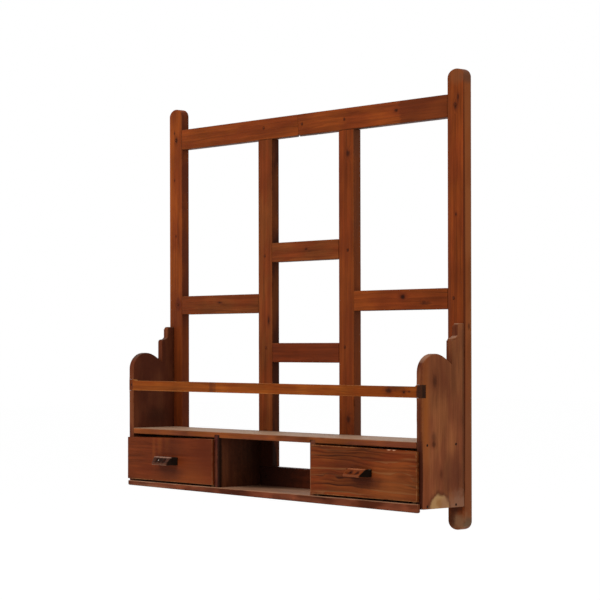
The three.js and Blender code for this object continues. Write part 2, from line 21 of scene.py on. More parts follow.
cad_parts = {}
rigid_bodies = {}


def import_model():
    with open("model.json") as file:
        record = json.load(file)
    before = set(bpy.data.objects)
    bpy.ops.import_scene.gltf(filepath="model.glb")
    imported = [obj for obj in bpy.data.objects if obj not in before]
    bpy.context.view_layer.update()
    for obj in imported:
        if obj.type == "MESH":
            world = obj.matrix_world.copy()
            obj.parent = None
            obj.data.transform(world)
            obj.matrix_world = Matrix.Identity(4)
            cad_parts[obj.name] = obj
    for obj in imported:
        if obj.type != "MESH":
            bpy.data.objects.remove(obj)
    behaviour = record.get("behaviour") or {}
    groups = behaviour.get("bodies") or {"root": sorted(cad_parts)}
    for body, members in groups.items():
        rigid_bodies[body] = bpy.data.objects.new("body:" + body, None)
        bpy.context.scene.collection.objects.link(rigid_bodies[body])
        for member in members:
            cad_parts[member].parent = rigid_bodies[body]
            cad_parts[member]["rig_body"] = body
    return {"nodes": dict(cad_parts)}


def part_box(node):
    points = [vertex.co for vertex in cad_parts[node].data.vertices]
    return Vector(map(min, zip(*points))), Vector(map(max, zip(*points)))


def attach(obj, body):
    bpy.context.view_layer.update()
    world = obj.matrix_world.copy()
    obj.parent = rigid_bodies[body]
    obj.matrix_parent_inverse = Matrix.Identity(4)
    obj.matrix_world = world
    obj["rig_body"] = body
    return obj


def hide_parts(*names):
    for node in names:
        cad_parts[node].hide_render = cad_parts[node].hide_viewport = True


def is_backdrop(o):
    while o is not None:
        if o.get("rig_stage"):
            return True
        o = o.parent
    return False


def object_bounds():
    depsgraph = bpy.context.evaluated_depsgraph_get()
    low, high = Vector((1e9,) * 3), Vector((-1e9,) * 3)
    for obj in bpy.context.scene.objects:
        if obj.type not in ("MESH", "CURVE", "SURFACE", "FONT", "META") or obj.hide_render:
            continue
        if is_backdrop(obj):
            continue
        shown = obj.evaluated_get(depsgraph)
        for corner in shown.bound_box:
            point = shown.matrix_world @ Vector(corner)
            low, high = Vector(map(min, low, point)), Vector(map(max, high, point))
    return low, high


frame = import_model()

log = logging.getLogger("plate_rack")

Tone = tuple[float, float, float, float]
Point = tuple[float, float, float]

MILLIMETRE = 0.001
NODES = frame["nodes"]


def tone(red: int, green: int, blue: int) -> Tone:
    """Turns a colour as it is seen, in 0 to 255, into the linear colour of a shader.

    Args:
        red: The red part.
        green: The green part.
        blue: The blue part.

    Returns:
        The linear colour with full opacity.
    """

    def linear(part: int) -> float:
        """Undoes the display curve of one part."""
        share = part / 255
        return share / 12.92 if share <= 0.04045 else ((share + 0.055) / 1.055) ** 2.4

    return linear(red), linear(green), linear(blue), 1.0


FASTENERS = [node for node in NODES if node.endswith(("_peg", "_nail"))]
POST_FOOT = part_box("right_post")[0].z
FRAME_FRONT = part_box("right_post")[0].y
CASE_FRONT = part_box("right_side_board")[0].y
DRAWER_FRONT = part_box("right_drawer_front")[0].y
OUTER_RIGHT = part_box("right_side_board")[1].x


def at(x: float, z: float, y: float = FRAME_FRONT / MILLIMETRE) -> Point:
    """A place on the rack, in metres.

    Args:
        x: Millimetres right of the middle.
        z: Millimetres above the right post's lower end.
        y: Millimetres behind the wall plane, by default on the ladder frame's front.

    Returns:
        The place in the frame's axes.
    """
    return x * MILLIMETRE, y * MILLIMETRE, POST_FOOT + z * MILLIMETRE


def reach(x: float, y: float, z: float) -> Point:
    """Half sizes in millimetres, as metres."""
    return x * MILLIMETRE, y * MILLIMETRE, z * MILLIMETRE


# ---------- Shader expressions ----------


def arithmetic(operation: str, swapped: bool = False) -> Callable[..., "Value"]:
    """Makes a method of Value that adds one Math node.

    Args:
        operation: The node's operation.
        swapped: Whether the value itself is the second operand.

    Returns:
        The method.
    """

    def method(self: "Value", *others: "Value | float") -> "Value":
        """Adds the Math node for the value and the others."""
        operands = (*others, self) if swapped else (self, *others)
        inputs = dict(enumerate(operands))
        return self.shader.value("ShaderNodeMath", {"operation": operation}, inputs)

    return method


class Value:
    """A number in a shader that takes part in ordinary arithmetic."""

    NOISE_MIDDLE = 0.5

    __add__ = __radd__ = arithmetic("ADD")
    __sub__ = arithmetic("SUBTRACT")
    __rsub__ = arithmetic("SUBTRACT", swapped=True)
    __mul__ = __rmul__ = arithmetic("MULTIPLY")
    __truediv__ = arithmetic("DIVIDE")
    root = arithmetic("SQRT")
    fraction = arithmetic("FRACT")
    floor = arithmetic("FLOOR")
    lower = arithmetic("MINIMUM")
    higher = arithmetic("MAXIMUM")

    def __init__(self, shader: "Shader", socket: bpy.types.NodeSocket) -> None:
        """Wraps a node's output socket."""
        self.shader = shader
        self.socket = socket

    def swing(self) -> "Value":
        """How far noise is from its middle."""
        return self - self.NOISE_MIDDLE

    def rise(self, low: float, high: float) -> "Value":
        """A smooth step from 0 at low to 1 at high."""
        settings = {"interpolation_type": "SMOOTHSTEP", "clamp": True}
        inputs = {"Value": self, "From Min": low, "From Max": high}
        return self.shader.value("ShaderNodeMapRange", settings, inputs)

    def fall(self, low: float, high: float) -> "Value":
        """A smooth step from 1 at low to 0 at high."""
        return 1 - self.rise(low, high)


class Colour:
    """A colour or a vector in a shader."""

    def __init__(self, shader: "Shader", socket: bpy.types.NodeSocket) -> None:
        """Wraps a node's output socket."""
        self.shader = shader
        self.socket = socket

    def mixed(self, other: "Colour | Tone", share: Value | float) -> "Colour":
        """Mixes in another colour.

        Args:
            other: The colour that is mixed in.
            share: How much of it there is, from 0 to 1.

        Returns:
            The mixed colour.
        """
        return self.shader.mix("MIX", self, other, share)

    def shaded(self, shade: Value) -> "Colour":
        """The colour made brighter or darker by a factor."""
        grey = self.shader.vector(shade, shade, shade)
        return self.shader.mix("MULTIPLY", self, grey, 1.0)


class Shader:
    """The node tree of one material or world, built from expressions."""

    MIX_FACTOR, MIX_FIRST, MIX_SECOND, MIX_RESULT = 0, 6, 7, 2
    NOISE_ROUGHNESS = 0.58

    def __init__(self, name: str, for_world: bool = False) -> None:
        """Starts an empty material, or an empty world, with that name."""
        owners = bpy.data.worlds if for_world else bpy.data.materials
        self.owner = owners.new(name)
        self.owner.use_nodes = True
        self.tree = self.owner.node_tree
        self.tree.nodes.clear()
        kind = "World" if for_world else "Material"
        self.output = self.node(f"ShaderNodeOutput{kind}", {}, {})

    def node(self, kind: str, settings: dict, inputs: dict) -> bpy.types.Node:
        """Adds one node.

        Args:
            kind: The node's type.
            settings: Its own properties, set first.
            inputs: What each of its sockets, by name or number, holds or is linked to.

        Returns:
            The node.
        """
        made = self.tree.nodes.new(kind)
        for name, setting in settings.items():
            setattr(made, name, setting)
        for key, given in inputs.items():
            socket = made.inputs[key]
            source = given.socket if isinstance(given, (Value, Colour)) else given
            if isinstance(source, bpy.types.NodeSocket):
                self.tree.links.new(source, socket)
            else:
                socket.default_value = source
        return made

    def value(self, kind: str, settings: dict, inputs: dict) -> Value:
        """Adds a node and returns its first output as a number."""
        return Value(self, self.node(kind, settings, inputs).outputs[0])

    def colour(self, kind: str, settings: dict, inputs: dict, output: str | int = 0) -> Colour:
        """Adds a node and returns one of its outputs as a colour or a vector."""
        return Colour(self, self.node(kind, settings, inputs).outputs[output])

    def mix(
        self, blend: str, first: Colour | Tone, second: Colour | Tone, share: Value | float
    ) -> Colour:
        """Blends two colours in a Mix node."""
        inputs = {self.MIX_FACTOR: share, self.MIX_FIRST: first, self.MIX_SECOND: second}
        settings = {"data_type": "RGBA", "blend_type": blend}
        return self.colour("ShaderNodeMix", settings, inputs, self.MIX_RESULT)

    def _parts(self, output: str) -> Sequence[Value]:
        """The three parts of one of the piece's own coordinates."""
        whole = self.colour("ShaderNodeTexCoord", {}, {}, output)
        parts = self.node("ShaderNodeSeparateXYZ", {}, {"Vector": whole})
        return [Value(self, socket) for socket in parts.outputs]

    def place(self) -> Sequence[Value]:
        """The three coordinates of the point on the piece, in the frame's axes."""
        return self._parts("Object")

    def facing(self) -> Sequence[Value]:
        """The three parts of the direction that the piece's surface faces."""
        return self._parts("Normal")

    def vector(self, x: Value | float, y: Value | float, z: Value | float) -> Colour:
        """A vector from its three coordinates."""
        return self.colour("ShaderNodeCombineXYZ", {}, {"X": x, "Y": y, "Z": z})

    def noise(self, point: Sequence[Value], scale: float, detail: float = 2.0) -> Value:
        """Smooth noise around 0.5, its features about one metre over scale across."""
        inputs = {
            "Vector": self.vector(*point),
            "Scale": scale,
            "Detail": detail,
            "Roughness": self.NOISE_ROUGHNESS,
        }
        return self.value("ShaderNodeTexNoise", {"noise_dimensions": "3D"}, inputs)

    def chance(self, number: Value) -> Value:
        """An even random number from 0 to 1 for each whole number."""
        return self.value("ShaderNodeTexWhiteNoise", {"noise_dimensions": "1D"}, {"W": number})

    def relief(self, height: Value, depth: float) -> Colour:
        """The normal of a surface whose height runs from 0 to 1 over that depth."""
        inputs = {"Height": height, "Distance": depth, "Strength": 1.0}
        return self.colour("ShaderNodeBump", {}, inputs, "Normal")

    def blend(
        self,
        share: Value | bpy.types.NodeSocket,
        first: bpy.types.Node,
        second: bpy.types.Node,
    ) -> bpy.types.Node:
        """Mixes a second shader node into the first."""
        inputs = {0: share, 1: first.outputs[0], 2: second.outputs[0]}
        return self.node("ShaderNodeMixShader", {}, inputs)

    def finish(self, inputs: dict) -> bpy.types.Material:
        """Ends the tree in a Principled shader with these inputs."""
        return self.end(self.node("ShaderNodeBsdfPrincipled", {}, inputs))

    def end(self, surface: bpy.types.Node) -> bpy.types.Material | bpy.types.World:
        """Links a shader node to the output, and returns the material or world."""
        self.tree.links.new(surface.outputs[0], self.output.inputs["Surface"])
        return self.owner


# ---------- Wood ----------


class Grain(Enum):
    """How a board lies: the axis along its grain, the one across its face and its thickness."""

    RAIL = (0, 2, 1)
    SHELF = (0, 1, 2)
    POST = (2, 0, 1)
    PANEL = (2, 1, 0)
    BOX_SIDE = (1, 2, 0)


class Side(Enum):
    """One side of a piece, as an axis number and a direction."""

    LEFT = (0, -1)
    RIGHT = (0, 1)
    FRONT = (1, -1)
    REAR = (1, 1)
    BELOW = (2, -1)
    ABOVE = (2, 1)


@dataclass(frozen=True)
class Timber:
    """How one sort of stained pine looks: its tones, its rings and fibres, and how worn it is."""

    early: Tone
    late: Tone
    blush: Tone
    worn: Tone
    ring: float = 5.5 * MILLIMETRE
    contrast: float = 0.42
    fading: float = 0.6
    blotch: float = 0.7
    cloud: float = 0.9
    streak: float = 1.3
    fibre: float = 0.22
    wave: float = 4.5 * MILLIMETRE
    wear: float = 0.35
    rubbed: float = 0.0
    roughness: float = 0.5
    relief: float = 0.25 * MILLIMETRE


@dataclass(frozen=True)
class Knot:
    """A knot that runs through a board: its place, its radius in millimetres, how dark and how
    long it is, and how far it pulls the rings aside."""

    place: Point
    radius: float = 4.0
    dark: float = 0.8
    length: float = 1.6
    pull: float = 1.5


@dataclass(frozen=True)
class Spot:
    """A patch of another tone, with a soft and ragged edge."""

    place: Point
    reach: Point
    colour: Tone
    strength: float = 0.8
    edge: float = 0.4
    ragged: float = 0.35


@dataclass(frozen=True)
class Wash:
    """A tone over all the faces of a piece that look one way."""

    side: Side
    colour: Tone
    strength: float = 0.75
    mottled: float = 0.4


Mark = Knot | Spot | Wash


@dataclass(frozen=True)
class Figure:
    """One layer of the wood's pattern, drawn out along the grain."""

    along: float
    scale: float
    detail: float = 2.0

    def noise(self, shader: Shader, along: Value, cross: Value, deep: Value) -> Value:
        """The layer as smooth noise around 0.5."""
        return shader.noise((along * self.along, cross, deep), self.scale, self.detail)


@dataclass(frozen=True)
class Wood:
    """One piece's wooden finish: its sort of timber, its grain and its marks."""

    timber: Timber
    grain: Grain
    pith: tuple[float, float] = (55.0, 45.0)
    marks: Sequence[Mark] = ()

    SHEEN = 0.035
    SHIFTS = (1, 9)
    FIBRE, STREAK = Figure(0.022, 700, 3), Figure(0.03, 120)
    PATCH, CLOUD = Figure(0.3, 24, 3), Figure(0.6, 13)
    CLEARED, BLUSHED, FIBRED = (0.36, 0.62), (0.4, 0.62), (0.45, 0.7)
    RUBBED_RINGS, RUBBED_STREAKS = (0.55, 0.75), (0.4, 0.6)
    OWN_SHADE, PATCH_SHADE = 0.3, 0.6
    PATCH_ROUGHNESS, FIBRE_ROUGHNESS = 0.2, 0.16
    RING_HEIGHT, FIBRE_HEIGHT = 0.6, 0.4

    YEARS, YEARS_SPREAD = Figure(0.1, 70, 1), 2.4
    BOW_ACROSS, SLOW_BOW, QUICK_BOW, SLOW_WAVES = 3, 2.4, 13, 6
    LATE_START, LATE_END = (0.25, 0.8), (0.86, 1.0)
    PALEST_RING, RING_SPREAD = 0.4, 0.6

    KNOT_HEART, KNOT_STAIN = tone(40, 17, 9), tone(84, 32, 15)
    KNOT_GRIT, KNOT_RAGGED = 330, 1.1
    HEART, HALO, HALO_STAIN = (0.3, 1.4), (0.5, 3.0), 0.6

    FACING, MOTTLED, MOTTLE_MIDDLE = (0.45, 0.8), (0.35, 0.65), 0.6
    ARRIS, ARRIS_RAGGED = 2.2 * MILLIMETRE, 1.8
    ARRIS_GRIT, GRIT_DETAIL = 130, 3
    SPOT_GRIT, SPOT_STREAKS = 0.9, 0.3

    def material(self, name: str, low: Vector, high: Vector) -> bpy.types.Material:
        """Builds the material.

        Args:
            name: The material's name, which also sets its random pattern.
            low: The piece's lowest corner.
            high: The piece's highest corner.

        Returns:
            The finished material.
        """
        shader = Shader(name)
        timber = self.timber
        xyz = shader.place()
        offset = random.Random(name).uniform(*self.SHIFTS)
        lengthwise, crosswise, inward = self.grain.value
        along = xyz[lengthwise] + offset
        cross = xyz[crosswise] - (low[crosswise] + high[crosswise]) / 2
        deep = xyz[inward] - (low[inward] + high[inward]) / 2

        knots = [self._knot(shader, knot, xyz) for knot in self._marked(Knot)]
        pull = sum(aside for _, _, aside in knots)
        late, own = self._rings(shader, along, cross, deep, pull)
        fibre, streak, patch, cloud = (
            layer.noise(shader, along, cross, deep)
            for layer in (self.FIBRE, self.STREAK, self.PATCH, self.CLOUD)
        )

        clear = 1 - timber.fading * cloud.rise(*self.CLEARED)
        base = shader.mix("MIX", timber.early, timber.late, late * clear * timber.contrast)
        base = base.mixed(timber.blush, patch.rise(*self.BLUSHED) * timber.blotch)
        if timber.rubbed > 0:
            bare = late * own.rise(*self.RUBBED_RINGS) * streak.rise(*self.RUBBED_STREAKS)
            base = base.mixed(timber.worn, bare * timber.rubbed)
        shade = 1 - timber.fibre * fibre.rise(*self.FIBRED)
        shade = shade * (1 - self.OWN_SHADE * timber.contrast * own)
        shade = shade * (1 + timber.streak * streak.swing()) * (1 + timber.cloud * cloud.swing())
        base = base.shaded(shade * (1 + self.PATCH_SHADE * timber.blotch * patch.swing()))
        facing = shader.facing()
        for wash in self._marked(Wash):
            base = self._washed(base, wash, facing, patch)
        base = self._worn(shader, base, xyz, low, high, patch)
        for spot in self._marked(Spot):
            base = self._spotted(shader, base, spot, xyz, streak)
        for heart, stain, _ in knots:
            base = base.mixed(self.KNOT_STAIN, stain).mixed(self.KNOT_HEART, heart)

        uneven = self.PATCH_ROUGHNESS * patch.swing() + self.FIBRE_ROUGHNESS * fibre.swing()
        height = self.RING_HEIGHT * late * clear + self.FIBRE_HEIGHT * fibre
        inputs = {
            "Base Color": base,
            "Roughness": timber.roughness + uneven,
            "Specular IOR Level": self.SHEEN,
            "Normal": shader.relief(height, timber.relief),
        }
        return shader.finish(inputs)

    def _marked(self, kind: type) -> list[Mark]:
        """The marks of one kind, in their order."""
        return [mark for mark in self.marks if isinstance(mark, kind)]

    def _knot(self, shader: Shader, knot: Knot, xyz: Sequence[Value]) -> tuple[Value, ...]:
        """A knot's dark heart, the stain round it, and how far it pushes the rings aside."""
        lengthwise, crosswise, _ = self.grain.value
        grit = shader.noise(xyz, self.KNOT_GRIT)
        radius = knot.radius * MILLIMETRE
        run = (xyz[lengthwise] - knot.place[lengthwise]) / (radius * knot.length)
        aside = (xyz[crosswise] - knot.place[crosswise]) / radius
        distance = (run * run + aside * aside).root()
        halo = distance.fall(*self.HALO)
        heart = (distance + self.KNOT_RAGGED * grit.swing()).fall(*self.HEART) * knot.dark
        return heart, halo * (knot.dark * self.HALO_STAIN), halo * (radius * knot.pull)

    def _rings(
        self, shader: Shader, along: Value, cross: Value, deep: Value, pull: Value | int
    ) -> tuple[Value, Value]:
        """The late wood of each year's ring, and a tone of its own for each ring."""
        timber = self.timber
        slow, quick = (
            shader.noise((along, cross * self.BOW_ACROSS, deep * self.BOW_ACROSS), scale)
            for scale in (self.SLOW_BOW, self.QUICK_BOW)
        )
        bow = slow.swing() * (self.SLOW_WAVES * timber.wave) + quick.swing() * timber.wave
        sideways = cross - self.pith[0] * MILLIMETRE + bow
        inward = deep - self.pith[1] * MILLIMETRE + bow
        years = self.YEARS.noise(shader, along, cross, deep)
        distance = (sideways * sideways + inward * inward).root() + pull
        phase = distance / timber.ring + self.YEARS_SPREAD * years
        share = phase.fraction()
        own = shader.chance(phase.floor())
        late = share.rise(*self.LATE_START) * share.fall(*self.LATE_END)
        return late * (self.PALEST_RING + self.RING_SPREAD * own), own

    def _washed(
        self, base: Colour, wash: Wash, facing: Sequence[Value], patch: Value
    ) -> Colour:
        """Lays a wash over the base."""
        number, way = wash.side.value
        mask = (facing[number] * way).rise(*self.FACING)
        mottling = patch.rise(*self.MOTTLED) - self.MOTTLE_MIDDLE
        thickness = wash.strength * (1 + 2 * wash.mottled * mottling)
        return base.mixed(wash.colour, (mask * thickness).lower(1.0))

    def _worn(
        self,
        shader: Shader,
        base: Colour,
        xyz: Sequence[Value],
        low: Vector,
        high: Vector,
        patch: Value,
    ) -> Colour:
        """Rubs the stain off along the piece's arrises."""
        x, y, z = (
            (value - low[number]).lower(high[number] - value) for number, value in enumerate(xyz)
        )
        second_least = x.lower(y).higher(x.higher(y).lower(z))
        grit = shader.noise(xyz, self.ARRIS_GRIT, self.GRIT_DETAIL)
        ragged = second_least + grit.swing() * (self.ARRIS_RAGGED * self.ARRIS)
        near = (ragged + patch.swing() * self.ARRIS).fall(0.0, self.ARRIS)
        return base.mixed(self.timber.worn, near * self.timber.wear)

    def _spotted(
        self, shader: Shader, base: Colour, spot: Spot, xyz: Sequence[Value], streak: Value
    ) -> Colour:
        """Lays one spot over the base."""
        offsets = [(value - spot.place[n]) / spot.reach[n] for n, value in enumerate(xyz)]
        squares = [offset * offset for offset in offsets]
        distance = (squares[0] + squares[1] + squares[2]).root()
        grit = shader.noise(xyz, self.SPOT_GRIT / min(spot.reach), self.GRIT_DETAIL)
        uneven = distance + spot.ragged * 2 * grit.swing() + self.SPOT_STREAKS * streak.swing()
        amount = uneven.fall(1 - spot.edge, 1 + spot.edge) * spot.strength
        return base.mixed(spot.colour, amount)


@dataclass(frozen=True)
class EndGrain:
    """The dark end of a whittled peg."""

    dark: Tone = tone(70, 27, 12)
    light: Tone = tone(104, 48, 22)
    roughness: float = 0.55
    gloss: float = 0.04
    relief: float = 0.2 * MILLIMETRE

    PORES, PORE_DETAIL, PATCHES = 900, 3, 240
    LIGHTER = (0.35, 0.7)
    DARKEST, PORE_SHADE, PORE_ROUGHNESS = 0.65, 0.6, 0.2

    def material(self, name: str) -> bpy.types.Material:
        """Builds the material."""
        shader = Shader(name)
        xyz = shader.place()
        pores = shader.noise(xyz, self.PORES, self.PORE_DETAIL)
        lighter = shader.noise(xyz, self.PATCHES).rise(*self.LIGHTER)
        base = shader.mix("MIX", self.dark, self.light, lighter)
        inputs = {
            "Base Color": base.shaded(self.DARKEST + self.PORE_SHADE * pores),
            "Roughness": self.roughness + self.PORE_ROUGHNESS * pores.swing(),
            "Specular IOR Level": self.gloss,
            "Normal": shader.relief(pores, self.relief),
        }
        return shader.finish(inputs)


@dataclass(frozen=True)
class Iron:
    """Old iron nails, dull, rusted or rubbed bright."""

    scale: Tone = tone(40, 22, 14)
    rust: Tone = tone(68, 32, 16)
    metal: float = 0.1
    roughness: float = 0.7
    gloss: float = 0.12
    relief: float = 0.1 * MILLIMETRE

    PATCHES, PATCH_DETAIL, PITS = 420, 3, 1500
    RUSTED = (0.45, 0.65)
    RUST_METAL, RUST_ROUGHNESS, PIT_ROUGHNESS = 0.6, 0.15, 0.25

    def material(self, name: str) -> bpy.types.Material:
        """Builds the material."""
        shader = Shader(name)
        xyz = shader.place()
        rusted = shader.noise(xyz, self.PATCHES, self.PATCH_DETAIL).rise(*self.RUSTED)
        pits = shader.noise(xyz, self.PITS)
        uneven = self.PIT_ROUGHNESS * pits.swing() + self.RUST_ROUGHNESS * rusted
        inputs = {
            "Base Color": shader.mix("MIX", self.scale, self.rust, rusted),
            "Metallic": self.metal * (1 - self.RUST_METAL * rusted),
            "Roughness": self.roughness + uneven,
            "Specular IOR Level": self.gloss,
            "Normal": shader.relief(pits, self.relief),
        }
        return shader.finish(inputs)


# ---------- Mesh work ----------

MERGE_DISTANCE = 0.002 * MILLIMETRE
FLAT_ANGLE = math.radians(0.4)
SHARP_ANGLE = math.radians(38)


def show(name: str, data: bpy.types.ID) -> bpy.types.Object:
    """Adds an object with that name and data to the scene."""
    shown = bpy.data.objects.new(name, data)
    bpy.context.scene.collection.objects.link(shown)
    return shown


def put(
    mesh: bmesh.types.BMesh,
    name: str,
    material: bpy.types.Material,
    body: str,
    replaced: Iterable[str] = (),
) -> bpy.types.Object:
    """Makes a piece of a finished mesh.

    Args:
        mesh: The mesh in the frame's axes, which is freed.
        name: The piece's name.
        material: Its finish.
        body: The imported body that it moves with.
        replaced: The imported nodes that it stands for.

    Returns:
        The piece.
    """
    mesh.normal_update()
    data = bpy.data.meshes.new(name)
    mesh.to_mesh(data)
    mesh.free()
    data.shade_smooth()
    data.set_sharp_from_angle(angle=SHARP_ANGLE)
    data.materials.append(material)
    piece = show(name, data)
    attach(piece, body)
    if replaced:
        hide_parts(*replaced)
    log.info("%s: %d faces", name, len(data.polygons))
    return piece


def body_of(node: str) -> str:
    """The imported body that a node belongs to."""
    return NODES[node]["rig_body"]


def span(low: float, high: float, step: float) -> list[float]:
    """Evenly spaced places between two ends, about a step apart, without the ends."""
    count = max(1, round((high - low) / step))
    return [low + (high - low) * number / count for number in range(1, count)]


def quarters(low: float, high: float) -> list[float]:
    """The two places a quarter of the way in from the ends."""
    return [low + share * (high - low) for share in (0.25, 0.75)]


@dataclass(frozen=True)
class Wear:
    """How a board's arrises have worn: evenly, and in a few dents."""

    step: float = 9 * MILLIMETRE
    shoulder: float = 5 * MILLIMETRE
    round_off: float = 0.5 * MILLIMETRE
    depth: float = 0.5 * MILLIMETRE
    patchiness: float = 28.0
    dents: int = 5
    dent: float = 1.2 * MILLIMETRE
    dent_reach: float = 10 * MILLIMETRE
    spared: tuple[str, ...] = ()

    ARRIS_ANGLE = math.radians(12)
    SHORTEST_ARRIS = 6
    NARROWEST_FACE = 3
    CUT_DISTANCE = 1e-7
    ROOM = 1.5 * MILLIMETRE
    SHIFTS = (-9, 9)

    def apply(self, mesh: bmesh.types.BMesh, grain: Grain, seed: str) -> None:
        """Softens and dents the arrises of a mesh.

        Args:
            mesh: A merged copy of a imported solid.
            grain: How the board lies.
            seed: What sets the dents' places.
        """
        self._ease(mesh)
        self._slice(mesh, grain)
        self._rub(mesh, random.Random(seed))

    def _is_arris(self, edge: bmesh.types.BMEdge) -> bool:
        """Whether an edge stands out."""
        return edge.is_manifold and edge.is_convex and edge.calc_face_angle() > self.ARRIS_ANGLE

    def _ease(self, mesh: bmesh.types.BMesh) -> None:
        """Rounds the arrises."""
        shortest = self.SHORTEST_ARRIS * self.round_off
        edges = [
            edge for edge in mesh.edges if self._is_arris(edge) and edge.calc_length() > shortest
        ]
        bmesh.ops.bevel(
            mesh,
            geom=edges,
            offset=self.round_off,
            offset_type="OFFSET",
            segments=2,
            profile=0.5,
            affect="EDGES",
            clamp_overlap=True,
            material=-1,
        )

    def _slice(self, mesh: bmesh.types.BMesh, grain: Grain) -> None:
        """Cuts the faces across the grain, and along it beside each arris."""
        corners = [vertex.co.copy() for vertex in mesh.verts]
        lengthwise, crosswise, inward = grain.value
        for number in (lengthwise, crosswise, inward):
            low = min(corner[number] for corner in corners)
            high = max(corner[number] for corner in corners)
            if number == lengthwise:
                places = span(low, high, self.step)
            elif high - low > self.NARROWEST_FACE * self.shoulder:
                places = [low + self.shoulder, high - self.shoulder]
            else:
                places = []
            normal = Vector((0, 0, 0))
            normal[number] = 1
            for place in places:
                bmesh.ops.bisect_plane(
                    mesh,
                    geom=[*mesh.verts, *mesh.edges, *mesh.faces],
                    dist=self.CUT_DISTANCE,
                    plane_co=normal * place,
                    plane_no=normal,
                )

    def _rub(self, mesh: bmesh.types.BMesh, chance: random.Random) -> None:
        """Draws the arrises into the wood, but not at fasteners or spared pieces."""
        mesh.normal_update()
        near = roomy_boxes([*FASTENERS, *self.spared], self.ROOM)
        worn = [
            vertex
            for vertex in mesh.verts
            if any(self._is_arris(edge) for edge in vertex.link_edges)
            and not any(inside(vertex.co, box) for box in near)
        ]
        centres = [chance.choice(worn).co.copy() for _ in range(self.dents if worn else 0)]
        shift = Vector([chance.uniform(*self.SHIFTS) for _ in range(3)])
        moves = []
        for vertex in worn:
            rubbed = 0.5 + 0.5 * noise.noise(vertex.co * self.patchiness + shift)
            amount = self.depth * rubbed
            for centre in centres:
                share = 1 - (vertex.co - centre).length_squared / self.dent_reach**2
                amount += self.dent * max(0.0, share) ** 2
            moves.append((vertex, vertex.normal * -amount))
        for vertex, move in moves:
            vertex.co += move


Box = tuple[Vector, Vector]


def roomy_boxes(nodes: Iterable[str], room: float) -> list[Box]:
    """The boxes of some nodes, with room round them."""
    extra = Vector((room, room, room))
    return [(low - extra, high + extra) for low, high in map(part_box, nodes)]


def inside(point: Vector, box: Box) -> bool:
    """Whether a point lies in a box."""
    low, high = box
    return all(low[number] <= point[number] <= high[number] for number in range(3))


@dataclass
class Board:
    """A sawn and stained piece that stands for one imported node."""

    node: str
    wood: Wood
    slot: str
    wear: Wear = Wear()

    def build(self) -> bpy.types.Object:
        """Makes the worn piece and dresses it."""
        mesh = bmesh.new()
        mesh.from_mesh(NODES[self.node].data)
        bmesh.ops.remove_doubles(mesh, verts=mesh.verts, dist=MERGE_DISTANCE)
        bmesh.ops.dissolve_limit(
            mesh, angle_limit=FLAT_ANGLE, verts=mesh.verts, edges=mesh.edges
        )
        self.wear.apply(mesh, self.wood.grain, self.node)
        name = f"{self.node}_wood"
        material = self.wood.material(name, *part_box(self.node))
        piece = put(mesh, name, material, body_of(self.node), [self.node])
        piece.modifiers.new("flats", "WEIGHTED_NORMAL").keep_sharp = True
        return piece


@dataclass
class Peg:
    """A whittled wooden peg in the ladder frame."""

    node: str
    material: bpy.types.Material
    sides: int = 9
    taper: float = 0.9
    crown: float = 0.35 * MILLIMETRE
    rim: float = 0.9 * MILLIMETRE
    slack: float = 0.15 * MILLIMETRE
    whittled: tuple[float, float] = (0.93, 1.0)

    FACING_UP = 0.9

    def build(self) -> bpy.types.Object:
        """Makes the peg with a slightly domed, uneven head."""
        low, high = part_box(self.node)
        radius = (high.x - low.x) / 2 - self.slack
        chance = random.Random(self.node)
        mesh = bmesh.new()
        bmesh.ops.create_cone(
            mesh,
            cap_ends=True,
            segments=self.sides,
            radius1=radius * self.taper,
            radius2=radius,
            depth=high.y - low.y,
        )
        mesh.normal_update()
        head = [face for face in mesh.faces if face.normal.z > self.FACING_UP]
        bmesh.ops.inset_region(mesh, faces=head, thickness=self.rim, depth=self.crown)
        for vertex in mesh.verts:
            vertex.co.x *= chance.uniform(*self.whittled)
            vertex.co.y *= chance.uniform(*self.whittled)
        face_front = Matrix.Rotation(math.pi / 2, 3, "X")
        bmesh.ops.rotate(mesh, verts=mesh.verts, matrix=face_front)
        bmesh.ops.translate(mesh, verts=mesh.verts, vec=(low + high) / 2)
        name = f"{self.node}_wood"
        return put(mesh, name, self.material, body_of(self.node), [self.node])


@dataclass
class Nail:
    """A forged nail with a low faceted head, driven from one side."""

    node: str
    side: Side
    material: bpy.types.Material
    steps: int = 10
    lift: float = 0.0
    sunk: float = 0.1 * MILLIMETRE
    slope: float = 0.45 * MILLIMETRE
    cap: float = 1.0 * MILLIMETRE
    crest: float = 0.55
    crest_slope: float = 0.35
    shank: float = 0.45
    tip: float = 0.85

    def build(self) -> bpy.types.Object:
        """Makes the nail."""
        low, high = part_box(self.node)
        number, way = self.side.value
        across = (number + 1) % 3
        radius = (high[across] - low[across]) / 2
        length = high[number] - low[number]
        profile = [
            (0, self.sunk),
            (self.crest * radius, self.sunk + self.slope * self.crest_slope),
            (radius, self.sunk + self.slope),
            (radius, self.cap),
            (self.shank * radius, self.cap),
            (self.shank * radius, length * self.tip),
            (0, length),
        ]
        mesh = bmesh.new()
        spun = [mesh.verts.new((distance, 0, -deep)) for distance, deep in profile]
        rim = [mesh.edges.new(pair) for pair in zip(spun, spun[1:])]
        bmesh.ops.spin(
            mesh,
            geom=[*spun, *rim],
            axis=(0, 0, 1),
            angle=2 * math.pi,
            steps=self.steps,
            use_merge=True,
        )
        bmesh.ops.remove_doubles(mesh, verts=mesh.verts, dist=MERGE_DISTANCE)
        bmesh.ops.recalc_face_normals(mesh, faces=mesh.faces)
        head = (low + high) / 2
        head[number] = (high[number] if way > 0 else low[number]) + way * self.lift
        aim(mesh, mesh.verts, self.side, head)
        name = f"{self.node}_iron"
        return put(mesh, name, self.material, body_of(self.node), [self.node])


